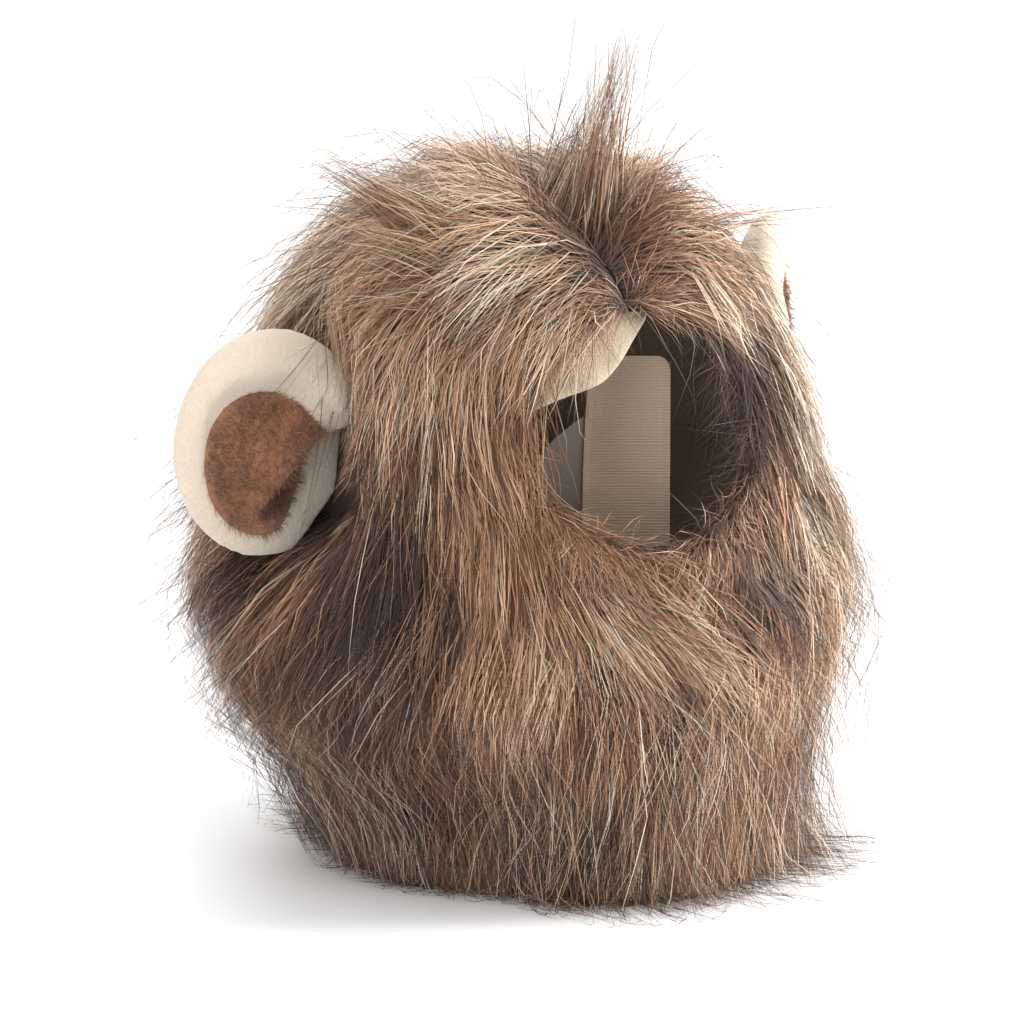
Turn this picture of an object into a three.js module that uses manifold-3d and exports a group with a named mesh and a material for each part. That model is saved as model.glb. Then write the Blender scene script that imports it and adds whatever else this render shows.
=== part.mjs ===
// Pet lion mane wig: a fur hood for a cat or small dog, standing on its neck rim.
// Millimetres, +Z up. The face looks along -Y and the drooping ear is on -X.
import * as THREE from "three";
import { mergeVertices } from "three/addons/utils/BufferGeometryUtils.js";
import Module from "manifold-3d";

const wasm = await Module();
wasm.setup();

// Lining hood, the wall that the fur is sewn to
const hoodWidth = 166; // at the belly, its widest ring
const hoodHeight = 235;
const bellyHalfWidth = hoodWidth / 2;
const neckHalfWidth = 0.795 * bellyHalfWidth;
const bellyHeight = 0.562 * hoodHeight;
const bellyShare = 0.5; // rows of the wall below the belly, as a share of all
const frontDepth = 0.964 * bellyHalfWidth;
const backDepth = 0.916 * bellyHalfWidth;
const neckDepthShare = 0.84; // half depth at the neck rim over half depth at the belly
const crownFullness = 0.56; // below 1 the crown is boxier than an ellipse
const liningWall = 2;
const hoodRows = 10;
const hoodColumns = 28;

// Face opening
const openingWidth = 100;
const openingHeight = 84;
const openingCentreX = 0.03 * openingWidth;
const openingCentreHeight = 0.736 * hoodHeight;

// Fur fabric: its dense pile is one thick skin, with locks over it
const pile = 19;
const pileAtOpening = 9;
const pileAtNeck = 15;
const pileFade = 42; // distance from the opening over which the pile grows to its full depth
const pileRise = 0.33; // share of the wall's height over which the pile grows up from the neck
const flapFold = 5; // the left panel's edge lies this much proud where it crosses the right panel
const flapUnder = 3; // and the right panel this much lower
const flapFoldWidth = 43;
const seamClearance = 0.3; // kept by each panel on its side of the seam
const clearance = 0.3; // between pieces that touch
const lockLength = 62; // the longest row's
const lockWidth = 27;
const lockThickness = 9;
const leftFullness = 1.1; // the left panel's locks stand this much longer than the right one's
const lockRoot = 5; // a lock starts this far inside the pile
const lockSag = 0.25; // how far a lock's tip drops, as a share of its length
const lockEase = 0.45; // lift at a lock's tip over that at its root
const lockVary = 0.1; // share by which the locks of a row differ in length
const lockFromSeam = 2;
const lockFromOpening = 7;
const flatFromOpening = 22; // nearer than this the locks lie flatter
const flatLift = 0.55;

// Seam between the panels under the opening: how far it lies from the middle, by height share
const flapSeamReach = 0.42 * openingWidth;
const flapSeam = [
  { height: 0, across: -1.0 },
  { height: 0.24, across: -0.86 },
  { height: 0.46, across: -0.55 },
  { height: 0.68, across: -0.02 },
  { height: 0.84, across: 0.3 },
  { height: 1, across: 0.07 },
];

// Whorl above the forehead, from which the hair parts
const whorl = new THREE.Vector3(0, -0.725 * frontDepth, 1.047 * hoodHeight);
const whorlReach = hoodHeight; // beyond this the hair hangs
const spreadAtCrown = 1; // pull away from the whorl and down, at the whorl and where the hair hangs
const spreadLow = 0.2;
const hangAtCrown = 0.25;
const hangLow = 1.35;
const frontSweep = 0.75; // how far the hair under the opening sweeps to the overlap
const frontSweepWidth = 62; // to each side of the opening's middle
const frontSweepDrop = 40; // below the opening's middle

// Rows of locks from the neck to the crown: at is the share of the way up the hood's wall, and
// length the share of lockLength
const lockRows = [
  { at: 0.11, count: 13, length: 0.48, lift: 10 },
  { at: 0.22, count: 13, length: 0.81, lift: 30 },
  { at: 0.33, count: 13, length: 0.94, lift: 42 },
  { at: 0.45, count: 13, length: 1, lift: 47 },
  { at: 0.57, count: 13, length: 1, lift: 48 },
  { at: 0.69, count: 12, length: 0.94, lift: 44 },
  { at: 0.79, count: 10, length: 0.84, lift: 42 },
  { at: 0.88, count: 8, length: 0.77, lift: 36 },
];
// Tuft that stands on the crown: azimuth -90 is the front, length is the share of tuftLength, and
// lean is sideways from upright
const tuftLength = 80;
const tuftRows = [
  { at: 0.88, azimuth: -99, length: 1, lean: 5 },
  { at: 0.88, azimuth: -76, length: 0.65, lean: 15 },
  { at: 0.92, azimuth: -135, length: 0.63, lean: -32 },
  { at: 0.92, azimuth: -42, length: 0.55, lean: 34 },
  { at: 0.86, azimuth: 196, length: 0.7, lean: -58 },
  { at: 0.86, azimuth: -14, length: 0.58, lean: 58 },
  { at: 0.95, azimuth: 150, length: 0.55, lean: -26 },
  { at: 0.95, azimuth: 30, length: 0.5, lean: 28 },
  { at: 0.9, azimuth: 112, length: 0.53, lean: -14 },
  { at: 0.9, azimuth: 66, length: 0.5, lean: 14 },
];
const tuftSize = 0.85; // width of a tuft lock over that of the others
const tuftBack = 8; // degrees that a tuft lock leans to the back

// Ears: padded discs, folded at the base, with a plush patch in front
const earRadius = 42;
const earTall = 1.04; // height over width
const earRim = 0.357 * earRadius; // thickness of the padded rim
const earMiddle = 0.167 * earRadius; // thickness behind the patch
const earCup = 0.167 * earRadius; // how far the rim stands in front of the middle
const foldDepth = 0.19 * earRadius;
const foldLine = { baseX: 0.3, baseY: 0.16, tipX: 1.12, tipY: -0.72 }; // in radii from the base
const foldStep = 0.16; // width of the fold's step, its reach below and where it fades, in radii
const foldReach = 1.25;
const foldFade = { from: 0.55, over: 0.5 };
const rimStart = { from: 0.45, over: 0.35 }; // where the rim rises from the middle, in radii
const earRings = 7;
const earColumns = 24;
const patchRings = 5;
const patchColumns = 24;
const patchRadius = 0.643 * earRadius;
const patchShiftX = 0.06 * earRadius;
const patchShiftY = -0.167 * earRadius;
const patchThickness = 2.4;
const patchSpan = 0.07; // the patch bridges dips narrower than twice this, in radii
const patchRoom = 1; // kept free of fur round the patch
const ears = {
  left: { side: -1, azimuth: 174, height: 0.7575, droop: -14, turn: -4 },
  right: { side: 1, azimuth: -28, height: 0.8085, droop: 6, turn: 50 },
}; // height is the share of the hood's

// Cream band inside the forehead edge, on the drooping ear's side
const bandFrom = 88; // degrees round the opening, 90 is up and 180 is left
const bandTo = 196;
const bandHidden = 7; // width behind the lining
const bandShown = 15; // width that shows at its widest
const bandThickness = 3;

// Closing flap that stands inside the neck, with its hook strip
const flapThickness = 1.5;
const flapWallAzimuth = 222; // where its fixed edge meets the lining
const flapPlan = [
  { x: -0.41, y: -0.55 },
  { x: -0.205, y: -0.44 },
  { x: 0, y: -0.46 },
  { x: 0.145, y: -0.54 },
  { x: 0.3, y: -0.64 },
]; // shares of the hood's half width and front depth
const flapLowHeight = 0.545 * hoodHeight;
const flapHighHeight = 0.82 * hoodHeight;
const flapSlope = 0.8; // below 1 its upper edge rises fast at first
const stripWidth = 28.5;
const stripThickness = 1.4;
const stripCorner = 5;
const stripFoot = 4; // height of its lower end above the neck rim
const stripTop = 0.83 * hoodHeight;

const down = new THREE.Vector3(0, 0, -1);
const circle = 2 * Math.PI;
const degrees = Math.PI / 180;
const far = 400; // longer than the object, for cutters

const clamp = THREE.MathUtils.clamp;
const smooth = (x) => THREE.MathUtils.smoothstep(x, 0, 1);
const mix = THREE.MathUtils.lerp;

// Solids and meshes
function solidFrom(points, faces) {
  const vertProperties = new Float32Array(points.flatMap((p) => [p.x, p.y, p.z]));
  return new wasm.Manifold(
    new wasm.Mesh({ numProp: 3, vertProperties, triVerts: new Uint32Array(faces.flat()) }),
  );
}

function solidOf(geometry) {
  const bare = geometry.clone();
  bare.deleteAttribute("normal");
  bare.deleteAttribute("uv");
  const merged = mergeVertices(bare, 1e-4);
  return new wasm.Manifold(
    new wasm.Mesh({
      numProp: 3,
      vertProperties: new Float32Array(merged.attributes.position.array),
      triVerts: new Uint32Array(merged.index.array),
    }),
  );
}

function geometryOf(solid) {
  const mesh = solid.getMesh();
  const positions = new Float32Array(mesh.triVerts.length * 3);
  mesh.triVerts.forEach((vertex, i) => {
    const from = vertex * mesh.numProp;
    positions.set(mesh.vertProperties.subarray(from, from + 3), i * 3);
  });
  const geometry = new THREE.BufferGeometry();
  geometry.setAttribute("position", new THREE.BufferAttribute(positions, 3));
  geometry.computeVertexNormals();
  return geometry;
}

function largestBody(solid) {
  return solid.decompose().reduce((best, body) => (body.volume() > best.volume() ? body : best));
}

// Hood wall: a point at a share of the way up and an azimuth, moved out by a distance
function ringAt(share) {
  if (share < bellyShare) {
    const up = share / bellyShare;
    const swell = Math.sin(up * 90 * degrees);
    return {
      height: bellyHeight * up,
      width: mix(neckHalfWidth, bellyHalfWidth, swell),
      depth: mix(neckDepthShare, 1, swell),
    };
  }
  const angle = ((share - bellyShare) / (1 - bellyShare)) * 90 * degrees;
  const shrink = Math.pow(Math.max(Math.cos(angle), 0), crownFullness);
  return {
    height: bellyHeight + (hoodHeight - bellyHeight) * Math.sin(angle),
    width: bellyHalfWidth * shrink,
    depth: shrink,
  };
}

function onLining(share, azimuth) {
  const ring = ringAt(share);
  const y = Math.sin(azimuth);
  const depth = ring.depth * (y < 0 ? frontDepth : backDepth);
  return new THREE.Vector3(ring.width * Math.cos(azimuth), depth * y, ring.height);
}

function liningNormal(share, azimuth) {
  const step = 0.01;
  const s = clamp(share, step, 1 - 2 * step);
  const up = onLining(s + step, azimuth).sub(onLining(s - step, azimuth));
  const around = onLining(s, azimuth + step).sub(onLining(s, azimuth - step));
  const normal = around.cross(up).normalize();
  if (share > 0.995) return new THREE.Vector3(0, 0, 1);
  if (share < 1e-6) normal.setZ(0).normalize();
  return normal;
}

function onHood(share, azimuth, out) {
  const point = onLining(share, azimuth).addScaledVector(liningNormal(share, azimuth), out);
  if (share < 1e-6) point.z = 0;
  return point;
}

// Share of the way up the wall at a height
function shareAt(height) {
  let low = 0;
  let high = 0.99;
  for (let i = 0; i < 24; i++) {
    const middle = (low + high) / 2;
    if (ringAt(middle).height < height) low = middle;
    else high = middle;
  }
  return (low + high) / 2;
}

// Height share and azimuth of the point of the lining's front wall at x and z
function frontAt(x, z) {
  const share = shareAt(z);
  const cosine = clamp(x / ringAt(share).width, -0.98, 0.98);
  return { share, azimuth: -Math.acos(cosine) };
}

// A dome with a wall: rings outside and inside, a point at each crown and a flat rim below
function domeWall(outside, inside) {
  const points = [];
  const faces = [];
  const ring = hoodColumns;
  for (const skin of [outside, inside])
    for (let row = 0; row < hoodRows; row++)
      for (let column = 0; column < ring; column++)
        points.push(skin(row / hoodRows, (column / ring) * circle));
  const inner = hoodRows * ring;
  const crown = points.push(outside(1, 0), inside(1, 0)) - 2;
  for (let column = 0; column < ring; column++) {
    const next = (column + 1) % ring;
    for (let row = 0; row < hoodRows - 1; row++) {
      const a = row * ring + column;
      const b = row * ring + next;
      faces.push([a, b, b + ring], [a, b + ring, a + ring]);
      faces.push([inner + b, inner + a, inner + a + ring], [inner + b, inner + a + ring, inner + b + ring]);
    }
    const top = (hoodRows - 1) * ring;
    faces.push([top + column, top + next, crown], [inner + top + next, inner + top + column, crown + 1]);
    faces.push([column, inner + column, inner + next], [column, inner + next, next]);
  }
  return solidFrom(points, faces);
}

// Outline of the face opening, and the cutter that takes it out of the front wall
function openingShape(grow = 0) {
  const shape = new THREE.Shape();
  shape.absellipse(
    openingCentreX,
    openingCentreHeight,
    openingWidth / 2 + grow,
    openingHeight / 2 + grow,
    0,
    circle,
  );
  return shape;
}

function alongDepth(shape, from, to, curveSegments = 12) {
  const geometry = new THREE.ExtrudeGeometry(shape, {
    depth: to - from,
    bevelEnabled: false,
    curveSegments,
  });
  geometry.rotateX(90 * degrees);
  geometry.translate(0, to, 0);
  return solidOf(geometry);
}

const openingCutter = alongDepth(openingShape(), -far, 0);
const floorCutter = solidOf(new THREE.BoxGeometry(far * 2, far * 2, far).translate(0, 0, -far / 2));

function openingDistance(point) {
  const x = (point.x - openingCentreX) / (openingWidth / 2);
  const z = (point.z - openingCentreHeight) / (openingHeight / 2);
  const mean = (openingWidth + openingHeight) / 4;
  return point.y > 0 ? far : (Math.hypot(x, z) - 1) * mean;
}

// Place of the seam between the two panels, across the front, at a height
const flapSeamTop = openingCentreHeight - openingHeight / 2;
function seamX(height) {
  const share = height / flapSeamTop;
  const next = flapSeam.findIndex((row) => row.height >= share);
  if (next < 1) return next === 0 ? flapSeam[0].across * flapSeamReach : 0;
  const a = flapSeam[next - 1];
  const b = flapSeam[next];
  const along = (share - a.height) / (b.height - a.height);
  return mix(a.across, b.across, along) * flapSeamReach;
}

// All that lies on one side of the seam; side is -1 for the left panel
function panelRegion(side) {
  const front = new THREE.Shape();
  const edge = flapSeam.map((row) => [row.across * flapSeamReach, row.height * flapSeamTop]);
  const middle = side * seamClearance;
  front.moveTo(side * far, -far);
  front.lineTo(edge[0][0] + middle, -far);
  for (const [x, z] of edge) front.lineTo(x + middle, z);
  front.lineTo(middle, openingCentreHeight);
  front.lineTo(middle, far);
  front.lineTo(side * far, far);
  const back = new THREE.Shape();
  back.moveTo(side * far, -far);
  back.lineTo(middle, -far);
  back.lineTo(middle, far);
  back.lineTo(side * far, far);
  return alongDepth(front, -far, 0).add(alongDepth(back, -0.5, far));
}

// Depth of the dense pile over the lining
function pileDepth(share, azimuth, side) {
  const point = onLining(share, azimuth);
  const away = smooth(Math.max(openingDistance(point), 0) / pileFade);
  const depth = mix(pileAtOpening, mix(pileAtNeck, pile, smooth(share / pileRise)), away);
  if (point.y > 0 || point.z > flapSeamTop) return depth;
  const nearSeam = 1 - smooth(Math.abs(point.x - seamX(point.z)) / flapFoldWidth);
  return depth + nearSeam * (side < 0 ? flapFold : -flapUnder);
}

// Direction of the hair at a point of the hood, along the surface
function hairFlow(point, normal, side) {
  const away = point.clone().sub(whorl);
  const hang = smooth(away.length() / whorlReach);
  const flow = away.normalize().multiplyScalar(mix(spreadAtCrown, spreadLow, hang));
  flow.addScaledVector(down, mix(hangAtCrown, hangLow, hang));
  if (point.y < 0 && point.z < openingCentreHeight) {
    const front = 1 - smooth(Math.abs(point.x - openingCentreX) / frontSweepWidth);
    const below = smooth((openingCentreHeight - point.z) / frontSweepDrop);
    flow.x += -side * frontSweep * front * below;
  }
  return flow.addScaledVector(normal, -flow.dot(normal)).normalize();
}

// Whether a point of the hood lies in front of the drooping ear, which the hair leaves bare
function frontOfEar(point) {
  const root = earBase(ears.left);
  const inward = root.x + earRadius * 0.5;
  return point.x < inward && point.y < root.y && Math.abs(point.z - root.z) < earRadius;
}

// One lock: a flat tapering blade that rises from the pile and bends over
const lockShape = [
  { along: 0, width: 0.85 },
  { along: 0.35, width: 1 },
  { along: 0.72, width: 0.62 },
];
function lock(root, normal, flow, length, lift, size = 1) {
  const across = flow.clone().cross(normal).normalize();
  const points = [];
  const faces = [];
  const centre = root.clone();
  let before = 0;
  const advance = (along) => {
    const bend = mix(lift, lift * lockEase, along) * degrees;
    const step = (along - before) * length;
    centre.addScaledVector(flow, Math.cos(bend) * step).addScaledVector(normal, Math.sin(bend) * step);
    centre.addScaledVector(down, step * lockSag * along);
    before = along;
  };
  for (const { along, width } of lockShape) {
    advance(along);
    const half = (lockWidth * size * width) / 2;
    points.push(centre.clone().addScaledVector(across, half));
    points.push(centre.clone().addScaledVector(normal, lockThickness * size * Math.sqrt(width)));
    points.push(centre.clone().addScaledVector(across, -half));
  }
  advance(1);
  const tip = points.push(centre.clone()) - 1;
  faces.push([0, 2, 1]);
  for (let k = 0; k < 3; k++) {
    const next = (k + 1) % 3;
    for (let ring = 0; ring < lockShape.length - 1; ring++) {
      const a = ring * 3 + k;
      const b = ring * 3 + next;
      faces.push([a, b, b + 3], [a, b + 3, a + 3]);
    }
    const last = (lockShape.length - 1) * 3;
    faces.push([last + k, last + next, tip]);
  }
  const solid = solidFrom(points, faces);
  return solid.volume() > 0 ? solid : solidFrom(points, faces.map(([a, b, c]) => [a, c, b]));
}

// The locks of one panel, row by row round the hood, and its half of the tuft
function panelLocks(side) {
  const locks = [];
  lockRows.forEach((row, index) => {
    for (let k = 0; k < row.count; k++) {
      const azimuth = ((k + 0.5 * (index % 2)) / row.count) * circle;
      const point = onLining(row.at, azimuth);
      const seam = point.y < 0 ? seamX(point.z) : 0;
      const fromSeam = (point.x - seam) * side;
      const fromOpening = openingDistance(point);
      if (fromSeam < lockFromSeam || fromOpening < lockFromOpening || frontOfEar(point)) continue;
      const normal = liningNormal(row.at, azimuth);
      const flow = hairFlow(point, normal, side);
      const root = onHood(row.at, azimuth, pileDepth(row.at, azimuth, side) - lockRoot);
      const wave = Math.sin(3.1 * k + 1.7 * index);
      const fullness = side < 0 ? leftFullness : 1;
      const length = lockLength * row.length * (1 + lockVary * wave) * fullness;
      const lift = row.lift * (fromOpening < flatFromOpening ? flatLift : 1);
      locks.push(lock(root, normal, flow, length, lift));
    }
  });
  for (const { at, azimuth, length, lean } of tuftRows) {
    const angle = azimuth * degrees;
    const root = onHood(at, angle, pileDepth(at, angle, side) - lockRoot);
    if (root.x * side < 0) continue;
    const upright = new THREE.Vector3(Math.sin(lean * degrees), 0, Math.cos(lean * degrees));
    const back = new THREE.Vector3(0, 1, 0);
    locks.push(lock(root, back, upright, tuftLength * length, tuftBack, tuftSize));
  }
  return locks;
}

function furPanel(side, sockets) {
  const outside = (share, azimuth) => onHood(share, azimuth, pileDepth(share, azimuth, side));
  const inside = (share, azimuth) => onHood(share, azimuth, clearance);
  let fur = domeWall(outside, inside);
  for (const piece of panelLocks(side)) fur = fur.add(piece);
  fur = fur.subtract(domeCore).subtract(openingCutter).subtract(floorCutter);
  for (const socket of sockets) fur = fur.subtract(socket);
  return largestBody(fur.intersect(panelRegion(side)));
}

// Everything inside the fur's inner skin, so that no lock reaches the lining
function domeFilled(out) {
  const points = [];
  const faces = [];
  for (let row = 0; row < hoodRows; row++)
    for (let column = 0; column < hoodColumns; column++)
      points.push(onHood(row / hoodRows, (column / hoodColumns) * circle, out));
  const crown = points.push(onHood(1, 0, out)) - 1;
  const centre = points.push(new THREE.Vector3(0, 0, 0)) - 1;
  for (let column = 0; column < hoodColumns; column++) {
    const next = (column + 1) % hoodColumns;
    for (let row = 0; row < hoodRows - 1; row++) {
      const a = row * hoodColumns + column;
      const b = row * hoodColumns + next;
      faces.push([a, b, b + hoodColumns], [a, b + hoodColumns, a + hoodColumns]);
    }
    const top = (hoodRows - 1) * hoodColumns;
    faces.push([top + column, top + next, crown], [next, column, centre]);
  }
  return solidFrom(points, faces);
}
const domeCore = domeFilled(clearance);

// Ear discs, in their own frame: x away from the head, y up, z to the front
function foldPush(x, y) {
  const alongX = foldLine.tipX - foldLine.baseX;
  const alongY = foldLine.tipY - foldLine.baseY;
  const length = Math.hypot(alongX, alongY);
  const fromX = x - foldLine.baseX;
  const fromY = y - foldLine.baseY;
  const along = (fromX * alongX + fromY * alongY) / length / length;
  const below = (fromX * alongY - fromY * alongX) / length;
  const fade = 1 - smooth((along - foldFade.from) / foldFade.over);
  return -foldDepth * smooth(below / foldStep) * smooth(foldReach - below) * fade;
}

function earSurface(radius, angle, front, grow) {
  const x = 1 + radius * Math.cos(angle);
  const y = radius * Math.sin(angle);
  const rim = smooth((radius - rimStart.from) / rimStart.over);
  const half = mix(earMiddle, earRim, rim) / 2 + grow;
  const round = Math.sqrt(Math.max(1 - Math.pow(radius, 5), 0));
  const middle = earCup * radius * radius + foldPush(x, y);
  const spread = 1 + grow / earRadius;
  return new THREE.Vector3(
    earRadius * (1 + (x - 1) * spread),
    earRadius * earTall * y * spread,
    middle + (front ? 1 : -1) * half * round,
  );
}

function discSolid(rings, columns, pointAt) {
  const points = [pointAt(0, 0, true), pointAt(0, 0, false)];
  const faces = [];
  const radii = Array.from({ length: rings }, (_, i) => Math.sin(((i + 1) / rings) * 90 * degrees));
  for (const front of [true, false])
    for (let ring = 0; ring < (front ? rings : rings - 1); ring++)
      for (let column = 0; column < columns; column++)
        points.push(pointAt(radii[ring], (column / columns) * circle, front));
  const frontAtIndex = (ring, column) => 2 + ring * columns + (column % columns);
  const backAtIndex = (ring, column) =>
    ring === rings - 1 ? frontAtIndex(ring, column) : 2 + (rings + ring) * columns + (column % columns);
  for (let column = 0; column < columns; column++) {
    faces.push([0, frontAtIndex(0, column), frontAtIndex(0, column + 1)]);
    faces.push([1, backAtIndex(0, column + 1), backAtIndex(0, column)]);
    for (let ring = 0; ring < rings - 1; ring++) {
      const a = frontAtIndex(ring, column);
      const b = frontAtIndex(ring, column + 1);
      const c = frontAtIndex(ring + 1, column + 1);
      const d = frontAtIndex(ring + 1, column);
      faces.push([a, d, c], [a, c, b]);
      const e = backAtIndex(ring, column);
      const f = backAtIndex(ring, column + 1);
      const g = backAtIndex(ring + 1, column + 1);
      const h = backAtIndex(ring + 1, column);
      faces.push([e, g, h], [e, f, g]);
    }
  }
  return solidFrom(points, faces);
}

const earDisc = (grow = 0) =>
  discSolid(earRings, earColumns, (radius, angle, front) => earSurface(radius, angle, front, grow));

function earPatch(grow = 0) {
  const share = (patchRadius + grow) / earRadius;
  return discSolid(patchRings, patchColumns, (radius, angle, front) => {
    const x = share * radius * Math.cos(angle) + patchShiftX / earRadius;
    const y = share * radius * Math.sin(angle) + patchShiftY / earRadius;
    const under = (dx, dy) => earSurface(Math.hypot(x + dx, y + dy), Math.atan2(y + dy, x + dx), true, 0);
    const around = [[0, 0], [patchSpan, 0], [-patchSpan, 0], [0, patchSpan], [0, -patchSpan]];
    const bridge = Math.max(...around.map(([dx, dy]) => under(dx, dy).z));
    const dome = patchThickness * Math.sqrt(Math.max(1 - Math.pow(radius, 6), 0));
    const point = under(0, 0);
    return point.setZ(front ? bridge + clearance + dome + grow : point.z - earMiddle / 4);
  });
}

// Point of the hood where an ear is sewn on
function earBase(ear) {
  return onHood(shareAt(ear.height * hoodHeight), ear.azimuth * degrees, clearance);
}

// Turns an ear solid from its own frame to its place on the hood
function earPlace(ear) {
  const base = earBase(ear);
  const yaw = new THREE.Matrix4().makeRotationZ(ear.side * ear.turn * degrees);
  const tilt = new THREE.Matrix4().makeRotationY(-ear.side * ear.droop * degrees);
  const stand = new THREE.Matrix4().makeRotationX(90 * degrees);
  const mirror = new THREE.Matrix4().makeScale(ear.side, 1, 1);
  const move = new THREE.Matrix4().makeTranslation(base.x, base.y, base.z);
  return move.multiply(yaw).multiply(tilt).multiply(stand).multiply(mirror);
}

function placed(solid, matrix) {
  const geometry = geometryOf(solid).applyMatrix4(matrix);
  if (matrix.determinant() < 0) {
    const positions = geometry.attributes.position;
    for (let i = 0; i < positions.count; i += 3) {
      const b = new THREE.Vector3().fromBufferAttribute(positions, i + 1);
      const c = new THREE.Vector3().fromBufferAttribute(positions, i + 2);
      positions.setXYZ(i + 1, c.x, c.y, c.z);
      positions.setXYZ(i + 2, b.x, b.y, b.z);
    }
  }
  return solidOf(geometry);
}

// Lining hood
const lining = domeWall(
  (share, azimuth) => onHood(share, azimuth, 0),
  (share, azimuth) => onHood(share, azimuth, -liningWall),
).subtract(openingCutter);
const liningHood = largestBody(lining);
const liningRoom = domeWall(
  (share, azimuth) => onHood(share, azimuth, clearance),
  (share, azimuth) => onHood(share, azimuth, -liningWall - clearance),
);

// A band on a grid of two skins, closed at its ends and sides
function slab(columns, rows, skinAt) {
  const points = [];
  const faces = [];
  const width = columns + 1;
  for (const skin of [0, 1])
    for (let row = 0; row <= rows; row++)
      for (let column = 0; column <= columns; column++)
        points.push(skinAt(column / columns, row / rows, skin));
  const at = (column, row, skin) => (skin * (rows + 1) + row) * width + column;
  for (let row = 0; row < rows; row++)
    for (let column = 0; column < columns; column++) {
      const [a, b, c, d] = [[0, 0], [1, 0], [1, 1], [0, 1]].map(([i, j]) => at(column + i, row + j, 0));
      const [e, f, g, h] = [[0, 0], [1, 0], [1, 1], [0, 1]].map(([i, j]) => at(column + i, row + j, 1));
      faces.push([a, b, c], [a, c, d], [e, g, f], [e, h, g]);
    }
  const border = [];
  for (let column = 0; column < columns; column++) border.push([column, 0]);
  for (let row = 0; row < rows; row++) border.push([columns, row]);
  for (let column = columns; column > 0; column--) border.push([column, rows]);
  for (let row = rows; row > 0; row--) border.push([0, row]);
  border.forEach(([column, row], i) => {
    const [nextColumn, nextRow] = border[(i + 1) % border.length];
    const a = at(column, row, 0);
    const b = at(nextColumn, nextRow, 0);
    const c = at(nextColumn, nextRow, 1);
    const d = at(column, row, 1);
    faces.push([a, d, c], [a, c, b]);
  });
  const solid = solidFrom(points, faces);
  return solid.volume() > 0 ? solid : solidFrom(points, faces.map(([a, b, c]) => [a, c, b]));
}

// Cream forehead band: a crescent behind the opening's edge, against the lining
function foreheadBand() {
  return slab(12, 2, (along, across, skin) => {
    const angle = mix(bandFrom, bandTo, along) * degrees;
    const shown = bandShown * Math.sin(along * 180 * degrees);
    const inward = mix(-bandHidden, shown, across);
    const x = openingCentreX + (openingWidth / 2 - inward) * Math.cos(angle);
    const z = openingCentreHeight + (openingHeight / 2 - inward) * Math.sin(angle);
    const { share, azimuth } = frontAt(x, z);
    return onHood(share, azimuth, -liningWall - skin * bandThickness);
  });
}

// Closing flap: a sheet on the neck rim's level that leaves the lining and turns to the face
function flapCurve(height) {
  const wall = onHood(shareAt(height), flapWallAzimuth * degrees, -liningWall).setZ(0);
  const size = new THREE.Vector3(bellyHalfWidth, frontDepth, 1);
  const plan = flapPlan.map(({ x, y }) => new THREE.Vector3(x, y, 0).multiply(size));
  return new THREE.CatmullRomCurve3([wall, ...plan], false, "centripetal");
}

function flapPoint(along, height, out) {
  const curve = flapCurve(height);
  const point = curve.getPoint(along);
  const ahead = curve.getTangent(along);
  point.addScaledVector(new THREE.Vector3(ahead.y, -ahead.x, 0).normalize(), out);
  return point.setZ(height);
}

function closingFlap() {
  return slab(12, 4, (along, up, skin) => {
    const top = mix(flapLowHeight, flapHighHeight, Math.pow(along, flapSlope));
    return flapPoint(along, up * top, -skin * flapThickness);
  });
}

// Hook strip on the flap's front, along its free edge, with its upper corners cut
function hookStrip() {
  const start = 1 - stripWidth / flapCurve(0).getLength();
  return slab(6, 1, (along, up, skin) => {
    const corner = Math.max(0, Math.abs(along - 0.5) * stripWidth - stripWidth / 2 + stripCorner);
    const top = stripTop - corner;
    return flapPoint(mix(start, 1, along), mix(stripFoot, top, up), clearance + skin * stripThickness);
  });
}

const materials = {
  fur: new THREE.MeshStandardMaterial({ color: 0x9a7a5c, roughness: 0.85, metalness: 0 }),
  lining: new THREE.MeshStandardMaterial({ color: 0x5a4a38, roughness: 0.7, metalness: 0 }),
  fleece: new THREE.MeshStandardMaterial({ color: 0xe8dcc0, roughness: 0.95, metalness: 0 }),
  plush: new THREE.MeshStandardMaterial({ color: 0x966440, roughness: 0.95, metalness: 0 }),
  tape: new THREE.MeshStandardMaterial({ color: 0xa09482, roughness: 0.8, metalness: 0 }),
};

const part = new THREE.Group();
function piece(name, material, solid) {
  const mesh = new THREE.Mesh(geometryOf(solid), materials[material]);
  mesh.name = name;
  part.add(mesh);
}

const sockets = Object.values(ears).flatMap((ear) =>
  [earDisc(2 * clearance), earPatch(patchRoom)].map((solid) => placed(solid, earPlace(ear))),
);
piece("hood_lining", "lining", liningHood);
piece("fur_panel_left", "fur", furPanel(-1, sockets));
piece("fur_panel_right", "fur", furPanel(1, sockets));
for (const [side, ear] of Object.entries(ears)) {
  const disc = placed(earDisc(), earPlace(ear)).subtract(domeFilled(clearance / 2));
  piece(`ear_${side}`, "fleece", largestBody(disc));
  const patch = earPatch().subtract(earDisc(clearance));
  piece(`ear_patch_${side}`, "plush", placed(largestBody(patch), earPlace(ear)));
}
piece("forehead_band", "fleece", largestBody(foreheadBand().subtract(liningRoom)));
piece("closing_flap", "lining", largestBody(closingFlap().subtract(liningRoom)));
piece("hook_strip", "tape", hookStrip());

// The whole wig is centred over the origin and stands on its neck rim
const box = new THREE.Box3().setFromObject(part);
const middle = box.getCenter(new THREE.Vector3());
part.position.set(-middle.x, -middle.y, -box.min.z);
part.updateMatrixWorld(true);

export default part;
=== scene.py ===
import math

import bpy
import numpy as np
from mathutils import Matrix, Vector
from mathutils.bvhtree import BVHTree
from mathutils.kdtree import KDTree


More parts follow.
